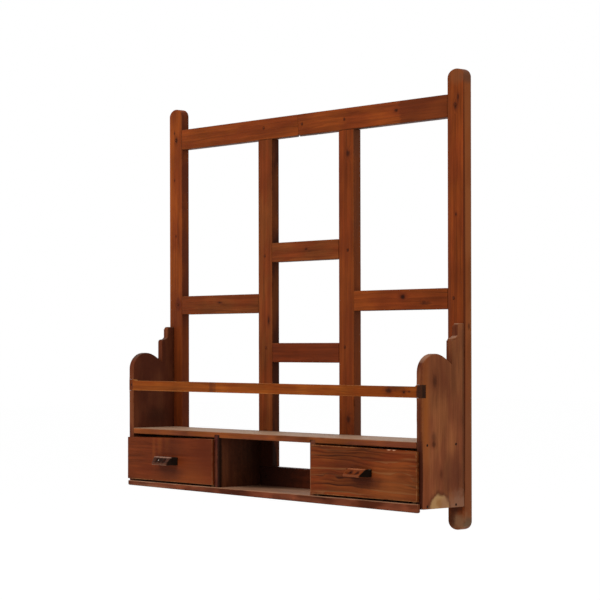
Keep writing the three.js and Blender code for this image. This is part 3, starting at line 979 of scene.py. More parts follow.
def aim(
    mesh: bmesh.types.BMesh, verts: Sequence[bmesh.types.BMVert], side: Side, place: Vector
) -> None:
    """Turns what points up to point out of a side, and moves it to its place.

    Args:
        mesh: The mesh that is changed.
        verts: The vertices that turn and move.
        side: Where the up direction turns to.
        place: Where the origin moves to.
    """
    number, way = side.value
    outward = Vector((0, 0, 0))
    outward[number] = way
    turn = outward.to_track_quat("Z", "Y").to_matrix()
    bmesh.ops.rotate(mesh, verts=verts, matrix=turn)
    bmesh.ops.translate(mesh, verts=verts, vec=place)


@dataclass
class NailHeads:
    """The heads of the small nails that join a body's boards, as one piece."""

    name: str
    body: str
    places: Sequence[tuple[Vector, Side]]
    material: bpy.types.Material
    radius: float = 2.1 * MILLIMETRE
    crown: float = 1.5 * MILLIMETRE
    proud: float = 0.2 * MILLIMETRE
    sunk: float = 0.8 * MILLIMETRE
    sides: int = 9

    def build(self) -> bpy.types.Object:
        """Sets a low faceted head at each place."""
        mesh = bmesh.new()
        chance = random.Random(self.name)
        for place, side in self.places:
            head = bmesh.ops.create_cone(
                mesh,
                cap_ends=True,
                segments=self.sides,
                radius1=self.radius,
                radius2=self.crown,
                depth=self.proud + self.sunk,
            )["verts"]
            spin = Matrix.Rotation(chance.uniform(0, math.pi), 3, "Z")
            bmesh.ops.rotate(mesh, verts=head, matrix=spin)
            down = Vector((0, 0, (self.proud - self.sunk) / 2))
            bmesh.ops.translate(mesh, verts=head, vec=down)
            aim(mesh, head, side, place)
        return put(mesh, self.name, self.material, self.body)


# ---------- Timbers ----------

FRAME_PINE = Timber(
    early=tone(140, 65, 22),
    late=tone(96, 40, 13),
    blush=tone(115, 47, 18),
    worn=tone(146, 84, 44),
    contrast=0.4,
    streak=1.0,
)
BOARD_PINE = Timber(
    early=tone(156, 92, 54),
    late=tone(106, 57, 31),
    blush=tone(123, 63, 39),
    worn=tone(152, 98, 62),
    ring=10 * MILLIMETRE,
    wave=7 * MILLIMETRE,
    contrast=0.34,
    streak=0.7,
)
SHELF_PINE = replace(
    BOARD_PINE,
    early=tone(142, 74, 32),
    late=tone(86, 36, 14),
    blotch=1.0,
    cloud=1.6,
    contrast=0.5,
)
LIP_PINE = replace(SHELF_PINE, early=tone(88, 38, 16), late=tone(46, 18, 8), cloud=2.4)
# A brighter, more orange copy of the frame pine; part of the brightness is painted light.
GUARD_PINE = replace(
    FRAME_PINE,
    early=tone(150, 76, 22),
    late=tone(112, 48, 10),
    blush=tone(128, 54, 12),
    worn=tone(176, 112, 60),
    wear=0.6,
)
LEFT_FRONT_PINE = replace(
    FRAME_PINE,
    early=tone(116, 51, 20),
    late=tone(88, 36, 13),
    blush=tone(96, 38, 16),
    contrast=0.3,
    worn=tone(164, 112, 72),
    wear=0.75,
)
RIGHT_FRONT_PINE = replace(
    FRAME_PINE,
    early=tone(132, 64, 26),
    late=tone(68, 23, 6),
    blush=tone(110, 42, 16),
    contrast=1.0,
    fading=0.45,
    ring=8.5 * MILLIMETRE,
    wave=7 * MILLIMETRE,
    worn=tone(174, 116, 70),
    wear=0.8,
    rubbed=0.5,
    relief=0.5 * MILLIMETRE,
)
BOX_PINE = Timber(
    early=tone(128, 88, 58),
    late=tone(104, 66, 42),
    blush=tone(108, 72, 50),
    worn=tone(150, 112, 80),
    roughness=0.7,
)
HANDLE_WOOD = Timber(
    early=tone(82, 46, 31),
    late=tone(46, 25, 16),
    blush=tone(56, 31, 20),
    worn=tone(176, 130, 100),
    ring=4 * MILLIMETRE,
    wave=2 * MILLIMETRE,
    wear=0.85,
)

# Painted shade for faces turned from the light: inner sides, undersides and compartment walls.
PAINTED_SHADE = tone(62, 28, 14)
# Iron rubbed bright, its pale colour also a painted glint.
RUBBED_IRON_PAINTED_GLINT = Iron(tone(226, 212, 202), tone(190, 168, 150), metal=0.75, roughness=0.3, gloss=0.5)
RUSTED_IRON = Iron(tone(50, 13, 5), tone(70, 20, 7), metal=0.0, roughness=0.85, gloss=0.04)
# Painted deep shade, in the open compartment, in the gap beside the left drawer and in the left
# pull's hollows.
PAINTED_DEEP_SHADE = tone(30, 15, 9)
# Near-black, for the pulls' end faces.
NEAR_BLACK = tone(24, 14, 8)
GRIME = tone(46, 24, 14)
DUST = tone(170, 136, 110)
BARE_BACK = Wash(Side.REAR, tone(128, 84, 54), 0.55)


# ---------- The rack ----------


@dataclass
class LadderFrame:
    """The flat pegged frame against the wall."""

    slot: str = "frame_pine"
    timber: Timber = FRAME_PINE
    wear: Wear = Wear()
    peg_finish: EndGrain = EndGrain()
    # The peg inside the open compartment gets a near-black end: painted shade.
    shaded_peg: str = "left_stile_bottom_peg"
    shaded_peg_finish: EndGrain = EndGrain(dark=tone(24, 11, 7), light=tone(34, 16, 10))
    redder_stretch: Spot = Spot(
        at(386, 886, -11), reach(80, 60, 90), tone(84, 36, 17), 0.55, 0.06, 0.06
    )
    nail_margin: float = 32 * MILLIMETRE
    head_rise: float = 0.02 * MILLIMETRE

    def build(self) -> None:
        """Makes the members, their pegs and the nails from behind."""
        for node, wood in self._woods().items():
            backed = replace(wood, marks=(*wood.marks, BARE_BACK))
            Board(node, backed, self.slot, self.wear).build()
        pegs = self.peg_finish.material("peg_ends")
        shaded_end = self.shaded_peg_finish.material("painted_shade_peg_end")
        for node in FASTENERS:
            if node.endswith("_peg"):
                Peg(node, shaded_end if node == self.shaded_peg else pegs).build()
        iron = Iron().material("rear_iron")
        places = self._nail_places()
        NailHeads("rear_nail_heads", "frame", places, iron, proud=self.head_rise).build()

    def _nail_places(self) -> list[tuple[Vector, Side]]:
        """Where nails are driven from behind: posts to side boards, and stiles to the shelf."""
        places = []
        shelf_low, shelf_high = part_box("shelf_board")
        for hand in ("left", "right"):
            low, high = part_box(f"{hand}_side_board")
            for z in (low.z + self.nail_margin, high.z - self.nail_margin):
                places.append(Vector(((low.x + high.x) / 2, 0, z)))
            low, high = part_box(f"{hand}_stile")
            for x in quarters(low.x, high.x):
                places.append(Vector((x, 0, (shelf_low.z + shelf_high.z) / 2)))
        return [(place, Side.REAR) for place in places]

    def _woods(self) -> dict[str, Wood]:
        """The finish of each member."""
        # Painted shade on the members' inner side faces, and below on their undersides.
        painted_shade_right = Wash(Side.RIGHT, PAINTED_SHADE, 0.9)
        painted_shade_left = Wash(Side.LEFT, PAINTED_SHADE, 0.8)
        below = Wash(Side.BELOW, tone(66, 36, 22), 0.8)
        above = Wash(Side.ABOVE, tone(94, 56, 34), 0.6)
        rail = (above, below)
        plain = self.timber
        bright = replace(plain, early=tone(146, 69, 23), late=tone(102, 43, 14))
        dull = replace(plain, early=tone(126, 64, 27), late=tone(90, 41, 17))
        red = replace(plain, early=tone(112, 48, 21), late=tone(80, 33, 14))
        return {
            "left_post": Wood(
                bright,
                Grain.POST,
                marks=(
                    # Painted shade on the right side face, and lower down, behind the case.
                    Wash(Side.RIGHT, tone(94, 43, 24), 0.88),
                    Spot(at(-480, 300), reach(60, 16, 210), tone(90, 38, 18), 0.6, 0.7),
                    Spot(at(-499, 700), reach(9, 16, 260), tone(166, 84, 28), 0.5, 0.6),
                    Knot(at(-472, 886), 4.5),
                    Knot(at(-480, 904), 2.2),
                    Knot(at(-480, 789), 1.8),
                    Knot(at(-474.5, 652), 1.8),
                    Spot(at(-466, 485), reach(12, 6, 15), tone(88, 34, 17), 0.75),
                ),
            ),
            "right_post": Wood(
                plain,
                Grain.POST,
                pith=(-60, 40),
                marks=(
                    painted_shade_left,
                    # Painted light on the outer side face.
                    Wash(Side.RIGHT, tone(148, 82, 42), 0.85),
                    Spot(at(500, 150, -11), reach(6, 16, 200), tone(118, 70, 46), 0.6, 0.6),
                    Spot(at(499, 500), reach(2, 4, 470), tone(78, 30, 14), 0.8, 0.3, 0.2),
                    Spot(at(500, 500, 0), reach(6, 4.5, 480), tone(116, 86, 58), 0.55, 0.5),
                    Spot(at(454, 500), reach(6, 16, 480), tone(98, 48, 28), 0.4, 0.7),
                    Spot(at(478, 950), reach(20, 16, 18), tone(124, 76, 44), 0.5, 0.6),
                    Spot(at(500, 945, -10), reach(16, 14, 14), tone(96, 64, 48), 0.7, 0.5),
                    Knot(at(483, 902), 2.3, length=3.0),
                    Knot(at(475.5, 884.5), 4.5),
                    Knot(at(476.6, 658), 2.2),
                    Spot(at(500, 424, -9), reach(4, 3, 6), tone(72, 34, 16), 0.7, 0.7),
                    Spot(at(484, 18), reach(20, 16, 16), tone(150, 110, 78), 0.8, 0.6, 0.9),
                    Spot(at(462, 22), reach(9, 16, 20), tone(66, 38, 24), 0.7, 0.6, 0.7),
                    Spot(at(474, 46), reach(20, 16, 10), tone(58, 30, 20), 0.7, 0.6, 0.5),
                    Spot(at(500, 12, -11), reach(7, 14, 14), tone(86, 76, 60), 0.6, 0.5),
                ),
            ),
            "left_stile": Wood(
                dull,
                Grain.POST,
                marks=(
                    painted_shade_right,
                    painted_shade_left,
                    # Painted deep shade on the part inside the open compartment.
                    Spot(at(-138, 96, -26), reach(40, 22, 92), PAINTED_DEEP_SHADE, 0.9, 0.06, 0.05),
                    Knot(at(-126, 442), 3.0, length=3.0),
                ),
            ),
            "right_stile": Wood(
                plain,
                Grain.POST,
                pith=(-50, 50),
                marks=(
                    # Painted shade on the right side face.
                    Wash(Side.RIGHT, tone(104, 56, 33), 0.85),
                    painted_shade_left,
                    Spot(at(145, 400), reach(40, 16, 230), tone(98, 44, 20), 0.4, 0.8),
                    Knot(at(145, 809), 6.0, 0.75, 1.3),
                    Knot(at(145, 221.5), 6.0, 0.7, 1.3),
                ),
            ),
            "top_rail_left": Wood(plain, Grain.RAIL, pith=(-70, 30), marks=rail),
            "top_rail_right": Wood(
                plain,
                Grain.RAIL,
                pith=(60, 50),
                marks=(*rail, self.redder_stretch, Knot(at(298.7, 890.6), 3.6)),
            ),
            "left_mid_rail": Wood(
                dull, Grain.RAIL, marks=(*rail, Knot(at(-306, 487), 2.5, length=3.0))
            ),
            "right_mid_rail": Wood(
                plain,
                Grain.RAIL,
                pith=(-60, 40),
                marks=(
                    *rail,
                    Knot(at(317, 489), 5.0, 0.95),
                    Knot(at(381, 476), 4.0, 0.4),
                    Spot(at(388, 474), reach(16, 6, 3.5), tone(74, 32, 15), 0.6, 0.5, 0.8),
                ),
            ),
            "centre_upper_rail": Wood(
                dull, Grain.RAIL, marks=(*rail, Knot(at(5, 603), 2.8, length=1.2))
            ),
            "centre_lower_rail": Wood(red, Grain.RAIL, pith=(40, 60), marks=rail),
            "bottom_rail": Wood(
                red,
                Grain.RAIL,
                marks=(
                    *rail,
                    # Painted shade inside the open compartment, deepest at the left.
                    Spot(at(-150, 80, -26), reach(140, 16, 110), tone(36, 17, 11), 0.97, 0.35),
                    Spot(at(0, 80, -26), reach(90, 14, 110), tone(60, 27, 16), 0.6, 0.5),
                ),
            ),
        }


@dataclass
class PlateCase:
    """The shelf case with its guard rail and the open compartment."""

    wear: Wear = Wear(depth=0.6 * MILLIMETRE, dents=8)
    slot: str = "case_pine"

    OWN_SLOTS = {"shelf_board": "shelf_pine", "guard_rail": "guard_pine"}
    SPARED = {
        "left_side_board": ("guard_rail",),
        "right_side_board": ("guard_rail",),
        "guard_rail": ("left_side_board", "right_side_board"),
    }

    def build(self) -> None:
        """Makes the boards and the nails."""
        for node, wood in self._woods().items():
            slot = self.OWN_SLOTS.get(node, self.slot)
            wear = replace(self.wear, spared=self.SPARED.get(node, ()))
            Board(node, wood, slot, wear).build()
        iron = Iron().material("dull_iron")
        for node in FASTENERS:
            if node.endswith("guard_nail"):
                Nail(node, Side.FRONT, iron).build()
            elif node.endswith(("front_nail", "rear_nail")):
                side = Side.LEFT if node.startswith("left") else Side.RIGHT
                Nail(node, side, iron).build()

    def _woods(self) -> dict[str, Wood]:
        """The finish of each board."""
        divider_edge = Wash(Side.FRONT, tone(76, 34, 28), 0.9)
        edge = at(-156, 120, CASE_FRONT / MILLIMETRE)
        return {
            "left_side_board": Wood(BOARD_PINE, Grain.PANEL, marks=self._left_marks()),
            "right_side_board": Wood(
                BOARD_PINE, Grain.PANEL, pith=(40, 70), marks=self._right_marks()
            ),
            "shelf_board": Wood(
                SHELF_PINE,
                Grain.SHELF,
                marks=(
                    Wash(Side.ABOVE, DUST, 0.97, 0.15),
                    Spot(at(-60, 188, -30), reach(300, 20, 5), tone(112, 82, 62), 0.6, 0.6),
                ),
            ),
            "bottom_board": Wood(
                LIP_PINE,
                Grain.SHELF,
                marks=(
                    Wash(Side.ABOVE, tone(172, 128, 100), 0.9, 0.2),
                    # Painted shade on the underside, and on the floor at the back of the open
                    # compartment.
                    Wash(Side.BELOW, PAINTED_SHADE, 0.8),
                    Spot(at(-120, 61, -40), reach(110, 50, 6), tone(44, 26, 16), 0.9, 0.9),
                    Spot(at(-400, 48, -154), reach(70, 8, 6), tone(150, 104, 76), 0.5, 0.8, 0.8),
                    Spot(at(-250, 46, -154), reach(60, 8, 6), GRIME, 0.6, 0.9, 0.8),
                    Spot(at(90, 46, -154), reach(80, 8, 6), GRIME, 0.5, 0.9, 0.8),
                ),
            ),
            "left_divider": Wood(
                BOARD_PINE,
                Grain.PANEL,
                marks=(
                    # Painted shade on the right face, inside the open compartment.
                    Wash(Side.RIGHT, tone(84, 44, 27), 0.94, 0.2),
                    divider_edge,
                    # Painted deep shade in the compartment, and a painted shadow in the gap beside
                    # the left drawer.
                    Spot(at(-156, 120, -30), reach(6, 60, 90), PAINTED_DEEP_SHADE, 0.8, 0.8),
                    Spot(edge, reach(6.5, 8, 110), PAINTED_DEEP_SHADE, 0.9, 0.3),
                ),
            ),
            # Painted shade on the left face, inside the open compartment.
            "right_divider": Wood(
                BOARD_PINE, Grain.PANEL, marks=(divider_edge, Wash(Side.LEFT, PAINTED_SHADE, 0.8))
            ),
            "guard_rail": Wood(GUARD_PINE, Grain.RAIL, marks=self._guard_marks()),
        }

    def _left_marks(self) -> Sequence[Mark]:
        """The marks on the left side board, whose inner face shows in the open bay."""
        face = CASE_FRONT / MILLIMETRE
        return (
            # Painted shade on the inner face and on the narrow front edges.
            Wash(Side.RIGHT, tone(82, 39, 24), 0.93, 0.12),
            Wash(Side.FRONT, tone(96, 44, 22), 0.85),
            Wash(Side.ABOVE, tone(84, 56, 44), 0.8),
            Spot(at(-483, 270, face), reach(12, 14, 110), tone(104, 44, 19), 0.3, 0.8),
            Spot(at(-483, 215, -75), reach(12, 30, 20), tone(44, 22, 13), 0.5, 0.7),
        )

    def _guard_marks(self) -> Sequence[Mark]:
        """The marks on the guard rail, with grimy end grain and knots at the right."""
        face = CASE_FRONT / MILLIMETRE
        return (
            Wash(Side.RIGHT, GRIME, 0.85),
            Wash(Side.LEFT, GRIME, 0.85),
            # A painted highlight along the top.
            Wash(Side.ABOVE, tone(176, 116, 66), 0.6),
            Spot(at(494, 290, -140), reach(12, 14, 24), GRIME, 0.92, 0.2, 0.2),
            Spot(at(-494, 290, -140), reach(10, 14, 24), tone(98, 44, 20), 0.9, 0.2),
            Spot(at(-184, 289, face), reach(8, 16, 26), tone(84, 40, 20), 0.6, 0.5),
            Spot(at(-172, 289, face), reach(4, 16, 26), tone(92, 44, 20), 0.5, 0.6),
            Spot(at(425, 297, face), reach(26, 14, 6), tone(62, 30, 14), 0.6, 0.7, 0.8),
            Knot(at(402, 291), 5.5, 0.8, length=1.8),
            Knot(at(447, 289), 3.0, 0.9),
            Knot(at(462, 290), 1.8),
        )

    def _right_marks(self) -> Sequence[Mark]:
        """The marks on the right side board, whose outer face is in full view."""
        outer = OUTER_RIGHT / MILLIMETRE
        face = CASE_FRONT / MILLIMETRE
        rub, bare = tone(150, 106, 82), tone(184, 140, 92)
        return (
            # Painted shade on the inner face and on the narrow front edges.
            Wash(Side.LEFT, tone(84, 40, 22), 0.85),
            Wash(Side.FRONT, tone(84, 37, 19), 0.9),
            Wash(Side.ABOVE, tone(158, 118, 94), 0.8),
            Spot(at(outer, 240, face + 11), reach(6, 9, 130), tone(160, 86, 32), 0.65, 0.8),
            Spot(at(outer, 80, face + 10), reach(6, 9, 70), tone(112, 54, 30), 0.5, 0.8),
            # A painted shadow between the drawer and the board's front edge.
            Spot(at(490, 115, face), reach(20, 3, 80), tone(52, 20, 12), 0.8, 0.3),
            Spot(at(outer, 230, -25), reach(14, 4, 240), tone(62, 30, 18), 0.6, 0.6),
            Spot(at(outer, 330, -100), reach(14, 45, 45), tone(102, 50, 30), 0.5, 0.7),
            Spot(at(outer, 116, -58), reach(14, 30, 36), tone(92, 45, 31), 0.45, 0.8),
            Spot(at(outer, 46, -40), reach(14, 30, 32), rub, 0.7, 0.5, 0.6),
            Spot(at(outer, 50, -97.5), reach(14, 31, 34), tone(80, 40, 24), 0.8, 0.2, 0.2),
            Spot(at(outer, 50, -97.5), reach(14, 26, 28), bare, 1.0, 0.15, 0.25),
            Spot(at(outer, 54, -84), reach(14, 13, 18), tone(160, 112, 80), 0.7, 0.6, 0.7),
            Spot(at(outer, 62, -98), reach(14, 8, 8), tone(152, 100, 52), 0.6, 0.7, 0.7),
            Knot(at(outer, 311, -110), 6.0, 0.5, length=2.2),
            Spot(at(outer, 197, -113), reach(14, 6, 10), tone(86, 48, 30), 0.6, 0.7),
            Knot(at(outer, 182, -113), 5.5, 0.6, 1.1, 1.0),
            Knot(at(outer, 120, -92), 4.0, 0.35, length=2.5),
        )


@dataclass
class Handle:
    """A hand-carved wooden pull, its face leaning out to a lip at the bottom."""

    drawer: str
    top_depth: float
    lip_width: float
    gouges: Sequence[float]
    gouge_width: float
    shades: Sequence[float]
    shade: Point
    timber: Timber
    # The rim and lip tones are rubbed edges with a painted highlight; the shadow tone is painted
    # shade in the hollows; the glint is a painted highlight.
    rim: Tone
    lip_tone: Tone
    shadow: Tone
    glint: Tone
    glint_depth: float = 6 * MILLIMETRE
    shade_depth: float = 11 * MILLIMETRE
    lip: float = 4 * MILLIMETRE
    gouge_radius: float = 14 * MILLIMETRE
    gouge_depth: float = 3.4 * MILLIMETRE
    rounding: float = 2.2 * MILLIMETRE
    cuts: int = 34
    softening: float = 0.4
    knife: float = 0.35 * MILLIMETRE
    knife_scale: float = 110.0
    knife_seed: int = 1

    RIM_REACH = (3.2 * MILLIMETRE, 2.4 * MILLIMETRE)
    END_REACH = reach(7, 24, 16)
    GLINT_REACH = reach(2.5, 4, 1.4)

    def build(self) -> bpy.types.Object:
        """Carves the pull from a block."""
        node = f"{self.drawer}_handle"
        low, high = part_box(node)
        mesh = bmesh.new()
        bmesh.ops.create_cube(mesh, size=1.0)
        bmesh.ops.subdivide_edges(mesh, edges=mesh.edges, cuts=self.cuts, use_grid_fill=True)
        for vertex in mesh.verts:
            vertex.co = self._shaped(self._rounded(vertex.co, high - low), low, high)
            vertex.co = self._gouged(vertex.co, low, high)
        bmesh.ops.smooth_vert(
            mesh,
            verts=mesh.verts,
            factor=self.softening,
            use_axis_x=True,
            use_axis_y=True,
            use_axis_z=True,
        )
        # Vector noise is seeded by the clock unless a seed is set.
        noise.seed_set(self.knife_seed)
        for vertex in mesh.verts:
            vertex.co += noise.noise_vector(vertex.co * self.knife_scale) * self.knife
            vertex.co.y = max(low.y, min(vertex.co.y, high.y))
        name = f"{node}_wood"
        material = self._wood(low, high).material(name, low, high)
        return put(mesh, name, material, self.drawer, [node])

    def _rounded(self, point: Vector, size: Vector) -> Vector:
        """Draws a point of the unit cube in, so that the block's edges are round."""
        radii = [min(0.5, self.rounding / side) for side in size]
        inner = Vector([max(-0.5 + r, min(0.5 - r, c)) for c, r in zip(point, radii)])
        outer = Vector([(c - i) / r for c, i, r in zip(point, inner, radii)])
        if outer.length > 0:
            outer.normalize()
        return inner + Vector([o * r for o, r in zip(outer, radii)])

    def _shaped(self, point: Vector, low: Vector, high: Vector) -> Vector:
        """Takes a point of the unit cube to the leaning and tapering block."""
        z = low.z + (point.z + 0.5) * (high.z - low.z)
        lean = max(0.0, z - low.z - self.lip) / (high.z - low.z - self.lip)
        full = high.y - low.y
        depth = full + (self.top_depth - full) * lean
        out = (0.5 - point.y) * depth
        base = (high.x - low.x) / 2
        half = base + (self.lip_width / 2 - base) * out / full
        return Vector(((low.x + high.x) / 2 + point.x * 2 * half, high.y - out, z))

    def _gouged(self, point: Vector, low: Vector, high: Vector) -> Vector:
        """Presses a point into the hollow that a round gouge leaves in the leaning face."""
        full = high.y - low.y
        foot = low.z + self.lip
        middle = Vector((high.y - (self.top_depth + full) / 2, (foot + high.z) / 2))
        normal = Vector((-(high.z - foot), full - self.top_depth)).normalized()
        axis = middle + normal * (self.gouge_radius - self.gouge_depth)
        arm = Vector((point.y, point.z)) - axis
        for aside in self.gouges:
            off = abs(point.x - (low.x + high.x) / 2 - aside) / (self.gouge_width / 2)
            if off < 1 and arm.dot(normal) < 0:
                radius = self.gouge_radius - self.gouge_depth * off**4
                if arm.length < radius:
                    arm = arm.normalized() * radius
        moved = axis + arm
        return Vector((point.x, moved.x, moved.y))

    def _wood(self, low: Vector, high: Vector) -> Wood:
        """The handle's finish: rubbed rims with a painted highlight, painted shade in the hollows,
        black ends and a painted glint at one corner.
        """
        middle, height = (low.x + high.x) / 2, (low.z + high.z) / 2
        half = (high.x - low.x) / 2
        # Rubbed rims, with a painted highlight along the top and along the lip.
        rim_places = (high.y - self.top_depth, high.z), (low.y, low.z + self.lip)
        rims = [
            Spot((middle, y, z), (half, *self.RIM_REACH), colour, 0.85, 0.6, 0.6)
            for (y, z), colour in zip(rim_places, (self.rim, self.lip_tone))
        ]
        # Painted shade in the hollows.
        deep = low.y + self.shade_depth
        hollows = [
            Spot((middle + aside, deep, height), self.shade, self.shadow, 0.95, 0.8)
            for aside in self.shades
        ]
        ends = [
            Spot((end, (low.y + high.y) / 2, height), self.END_REACH, NEAR_BLACK, 0.97, 0.3)
            for end in (low.x, high.x)
        ]
        cut_ends = [Wash(side, NEAR_BLACK, 0.97, 0.05) for side in (Side.LEFT, Side.RIGHT)]
        # A painted glint at the top of one end.
        corner = (high.x, high.y - self.glint_depth, high.z)
        glint = Spot(corner, self.GLINT_REACH, self.glint, 0.85, 0.5)
        marks = (*cut_ends, *rims, *hollows, *ends, glint)
        return Wood(self.timber, Grain.RAIL, pith=(20, 30), marks=marks)


@dataclass
class Drawer:
    """One drawer: its lipped front, its box, its pull and its nails."""

    name: str
    front: Wood
    handle: Handle
    bright_nail: bool = False
    nail_lift: float = 2.2 * MILLIMETRE
    wear: Wear = Wear(depth=0.45 * MILLIMETRE, dents=6)
    box_wear: Wear = Wear(depth=0.3 * MILLIMETRE, dents=3)

    BOX = {
        "inner_side": Grain.BOX_SIDE,
        "outer_side": Grain.BOX_SIDE,
        "back": Grain.RAIL,
        "bottom": Grain.SHELF,
    }

    def build(self) -> None:
        """Makes the drawer's pieces."""
        Board(f"{self.name}_front", self.front, "front_pine", self.wear).build()
        for part, grain in self.BOX.items():
            wood = Wood(BOX_PINE, grain)
            Board(f"{self.name}_{part}", wood, "box_pine", self.box_wear).build()
        self.handle.build()
        dull = Iron().material(f"{self.name}_nail_iron")
        rusted = RUSTED_IRON.material(f"{self.name}_rusted_iron")
        # The bright nail is rubbed iron whose pale colour also paints a glint.
        first = RUBBED_IRON_PAINTED_GLINT.material("rubbed_iron_painted_glint") if self.bright_nail else rusted
        Nail(f"{self.name}_left_nail", Side.FRONT, first, lift=self.nail_lift).build()
        Nail(f"{self.name}_right_nail", Side.FRONT, rusted, lift=self.nail_lift).build()
        NailHeads(f"{self.name}_box_nail_heads", self.name, self._nail_places(), dull).build()

    def _nail_places(self) -> list[tuple[Vector, Side]]:
        """Where the box is nailed: its sides to the front and back, its bottom to the back."""
        back_low, back_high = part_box(f"{self.name}_back")
        lip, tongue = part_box(f"{self.name}_inner_side")[0].y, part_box(f"{self.name}_front")[1].y
        middle = (back_low + back_high) / 2
        places = []
        for part in ("inner_side", "outer_side"):
            low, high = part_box(f"{self.name}_{part}")
            side, x = (Side.LEFT, low.x) if low.x < middle.x else (Side.RIGHT, high.x)
            for y in ((lip + tongue) / 2, middle.y):
                for z in quarters(low.z, high.z):
                    places.append((Vector((x, y, z)), side))
        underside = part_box(f"{self.name}_bottom")[0].z
        for x in quarters(back_low.x, back_high.x):
            places.append((Vector((x, middle.y, underside)), Side.BELOW))
        return places


def left_drawer() -> Drawer:
    """The left drawer, with the redder front and the pull with three hollows."""
    face = DRAWER_FRONT / MILLIMETRE
    amber = tone(142, 72, 30)
    front = Wood(
        LEFT_FRONT_PINE,
        Grain.RAIL,
        pith=(80, 40),
        marks=(
            Spot(at(-196, 130, face), reach(70, 16, 66), tone(88, 34, 14), 0.75, 0.9),
            Spot(at(-240, 84, face), reach(40, 16, 26), amber, 0.2, 0.9),
            Spot(at(-300, 72, face), reach(90, 16, 16), amber, 0.3, 0.9),
            Spot(at(-368, 156, face), reach(8, 16, 26), amber, 0.45, 0.9, 0.5),
            Spot(at(-392, 140, face), reach(5, 16, 34), amber, 0.3, 0.9, 0.5),
            Spot(at(-340, 160, face), reach(9, 16, 20), amber, 0.35, 0.9, 0.5),
            Spot(at(-320, 150, face), reach(40, 16, 18), tone(72, 30, 15), 0.5, 0.8),
            # A painted shadow under the pull.
            Spot(at(-330, 88, face), reach(44, 16, 16), tone(72, 30, 16), 0.6, 0.8),
        ),
    )
    three = [-13 * MILLIMETRE, 0.0, 13 * MILLIMETRE]
    handle = Handle(
        drawer="left_drawer",
        top_depth=15 * MILLIMETRE,
        lip_width=55 * MILLIMETRE,
        gouges=three,
        gouge_width=11 * MILLIMETRE,
        shades=three,
        shade=reach(5.4, 10, 6.5),
        timber=HANDLE_WOOD,
        rim=tone(176, 132, 112),
        lip_tone=tone(92, 54, 38),
        shadow=PAINTED_DEEP_SHADE,
        glint=tone(104, 92, 76),
    )
    return Drawer("left_drawer", front, handle, bright_nail=True)


def right_drawer() -> Drawer:
    """The right drawer, with the coarse-grained front and the pull with one long hollow."""
    face = DRAWER_FRONT / MILLIMETRE
    front = Wood(
        RIGHT_FRONT_PINE,
        Grain.RAIL,
        pith=(95, 40),
        marks=(
            Spot(at(420, 92, face), reach(80, 16, 34), tone(142, 78, 36), 0.4, 0.8),
            # A painted shadow under and to the right of the pull.
            Spot(at(340, 98, face), reach(48, 16, 13), tone(58, 22, 11), 0.7, 0.8),
            Spot(at(300, 135, face), reach(46, 16, 9), tone(84, 36, 18), 0.5, 0.8),
            Knot(at(452, 116, face), 6, 0.1, 2.4, 1.0),
            Knot(at(228, 110, face), 6, 0.15, 2.0, 0.9),
            Spot(at(410, 170, face), reach(6, 6, 2), tone(214, 158, 122), 0.95),
            Spot(at(425, 170, face), reach(5, 6, 2), tone(214, 158, 122), 0.95),
        ),
    )
    ruddy = tone(134, 64, 22)
    handle = Handle(
        drawer="right_drawer",
        top_depth=12.5 * MILLIMETRE,
        lip_width=49 * MILLIMETRE,
        gouges=[0.0],
        gouge_width=44 * MILLIMETRE,
        shades=[-11 * MILLIMETRE, 9 * MILLIMETRE],
        shade=reach(5, 8, 4),
        timber=replace(
            HANDLE_WOOD,
            early=ruddy,
            late=tone(88, 36, 12),
            blush=tone(116, 50, 18),
            worn=tone(150, 88, 50),
            wear=0.5,
        ),
        rim=tone(164, 100, 66),
        lip_tone=tone(122, 68, 42),
        shadow=tone(46, 15, 6),
        glint=tone(156, 146, 124),
    )
    return Drawer("right_drawer", front, handle)


# ---------- The stage ----------


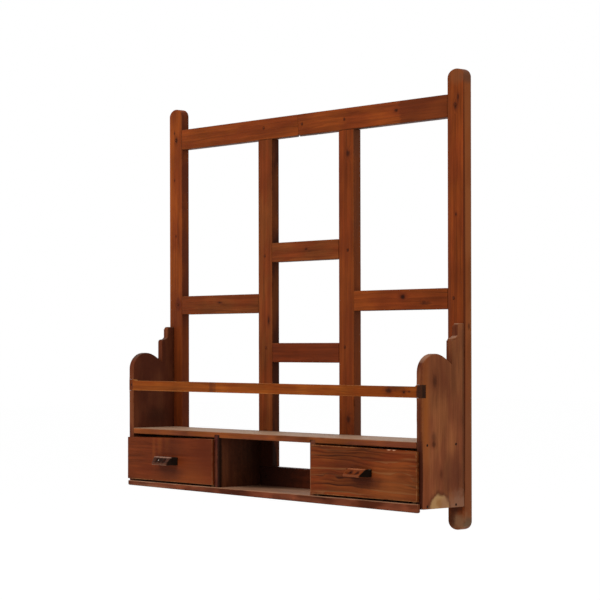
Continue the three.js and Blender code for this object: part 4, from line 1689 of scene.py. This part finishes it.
@dataclass
class Studio:
    """The camera, the soft light and the pale surroundings."""

    camera_place: Point = (3.3505, -2.9855, -0.4984)
    camera_turn: float = 48.652
    camera_roll: float = 0.118
    focal_pixels: float = 1974.1
    horizon_pixels: float = 344.13
    image_pixels: float = 600.0
    sensor: float = 36.0
    floor_drop: float = 0.85
    floor_reach: float = 30.0
    floor_lift: float = 0.42
    sky: float = 0.72
    lamp_power: float = 70.0
    lamp_size: float = 3.0
    lamp_place: Point = (-0.6, -3.6, 2.4)
    lamp_target: Point = (0.0, 0.0, -0.4)

    WHITE = (1, 1, 1, 1)
    FLOOR_GREY = (0.8, 0.8, 0.8, 1)

    def build(self) -> None:
        """Makes the camera, the world, the lamp and the floor."""
        self._camera()
        self._world()
        self._lamp()
        self._floor()
        bpy.context.scene.view_settings.view_transform = "Standard"
        log.info("studio: camera with a lens of %.1f mm", self.lens)

    @property
    def lens(self) -> float:
        """The focal length that fits the sensor."""
        return self.focal_pixels / self.image_pixels * self.sensor

    def _camera(self) -> None:
        """Sets the camera at the photograph's angle."""
        data = bpy.data.cameras.new("camera")
        data.sensor_width = self.sensor
        data.lens = self.lens
        data.shift_y = (self.horizon_pixels - self.image_pixels / 2) / self.image_pixels
        camera = show("camera", data)
        camera.location = self.camera_place
        turn = (math.pi / 2, math.radians(self.camera_roll), math.radians(self.camera_turn))
        camera.rotation_euler = Euler(turn)
        bpy.context.scene.camera = camera

    def _world(self) -> None:
        """Lights from all round, and shows white to the camera and to glossy surfaces."""
        shader = Shader("studio", for_world=True)
        light, shown = (
            shader.node("ShaderNodeBackground", {}, {"Color": self.WHITE, "Strength": strength})
            for strength in (self.sky, 1.0)
        )
        bpy.context.scene.world = shader.end(shader.blend(self._seen(shader), light, shown))

    def _seen(self, shader: Shader) -> Value:
        """Whether the camera sees the surroundings, directly or in gloss or glass."""
        path = shader.node("ShaderNodeLightPath", {}, {})
        kinds = ("Is Camera Ray", "Is Glossy Ray", "Is Transmission Ray")
        camera, glossy, through = (Value(shader, path.outputs[kind]) for kind in kinds)
        return camera.higher(glossy).higher(through)

    def _lamp(self) -> None:
        """Hangs one large soft lamp in front, high on the left."""
        data = bpy.data.lights.new("key", "AREA")
        data.shape = "DISK"
        data.size = self.lamp_size
        data.energy = self.lamp_power
        lamp = show("key", data)
        lamp.location = self.lamp_place
        beam = Vector(self.lamp_target) - lamp.location
        lamp.rotation_euler = beam.to_track_quat("-Z", "Y").to_euler()

    def _floor(self) -> None:
        """Lays a pale floor well below the rack, which shows white but keeps the shadow."""
        low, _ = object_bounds()
        mesh = bmesh.new()
        bmesh.ops.create_grid(mesh, x_segments=1, y_segments=1, size=self.floor_reach)
        bmesh.ops.translate(mesh, verts=mesh.verts, vec=(0, 0, low.z - self.floor_drop))
        data = bpy.data.meshes.new("floor")
        mesh.to_mesh(data)
        mesh.free()
        data.materials.append(self._floor_finish())
        floor = show("floor", data)
        floor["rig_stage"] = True

    def _floor_finish(self) -> bpy.types.Material:
        """A matte white that lifts itself to white where the camera sees it."""
        shader = Shader("floor")
        lift = self._seen(shader) * self.floor_lift
        matte = shader.node("ShaderNodeBsdfDiffuse", {}, {"Color": self.FLOOR_GREY})
        glow = shader.node("ShaderNodeEmission", {}, {"Strength": lift})
        both = shader.node("ShaderNodeAddShader", {}, {0: matte.outputs[0], 1: glow.outputs[0]})
        clear = shader.node("ShaderNodeBsdfTransparent", {}, {})
        under = shader.node("ShaderNodeNewGeometry", {}, {}).outputs["Backfacing"]
        return shader.end(shader.blend(under, both, clear))


def main() -> None:
    """Builds the stage and the rack in order."""
    logging.basicConfig(level=logging.INFO, format="%(name)s: %(message)s")
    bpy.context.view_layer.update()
    Studio().build()
    LadderFrame().build()
    PlateCase().build()
    left_drawer().build()
    right_drawer().build()


if __name__ == "__main__":
    main()
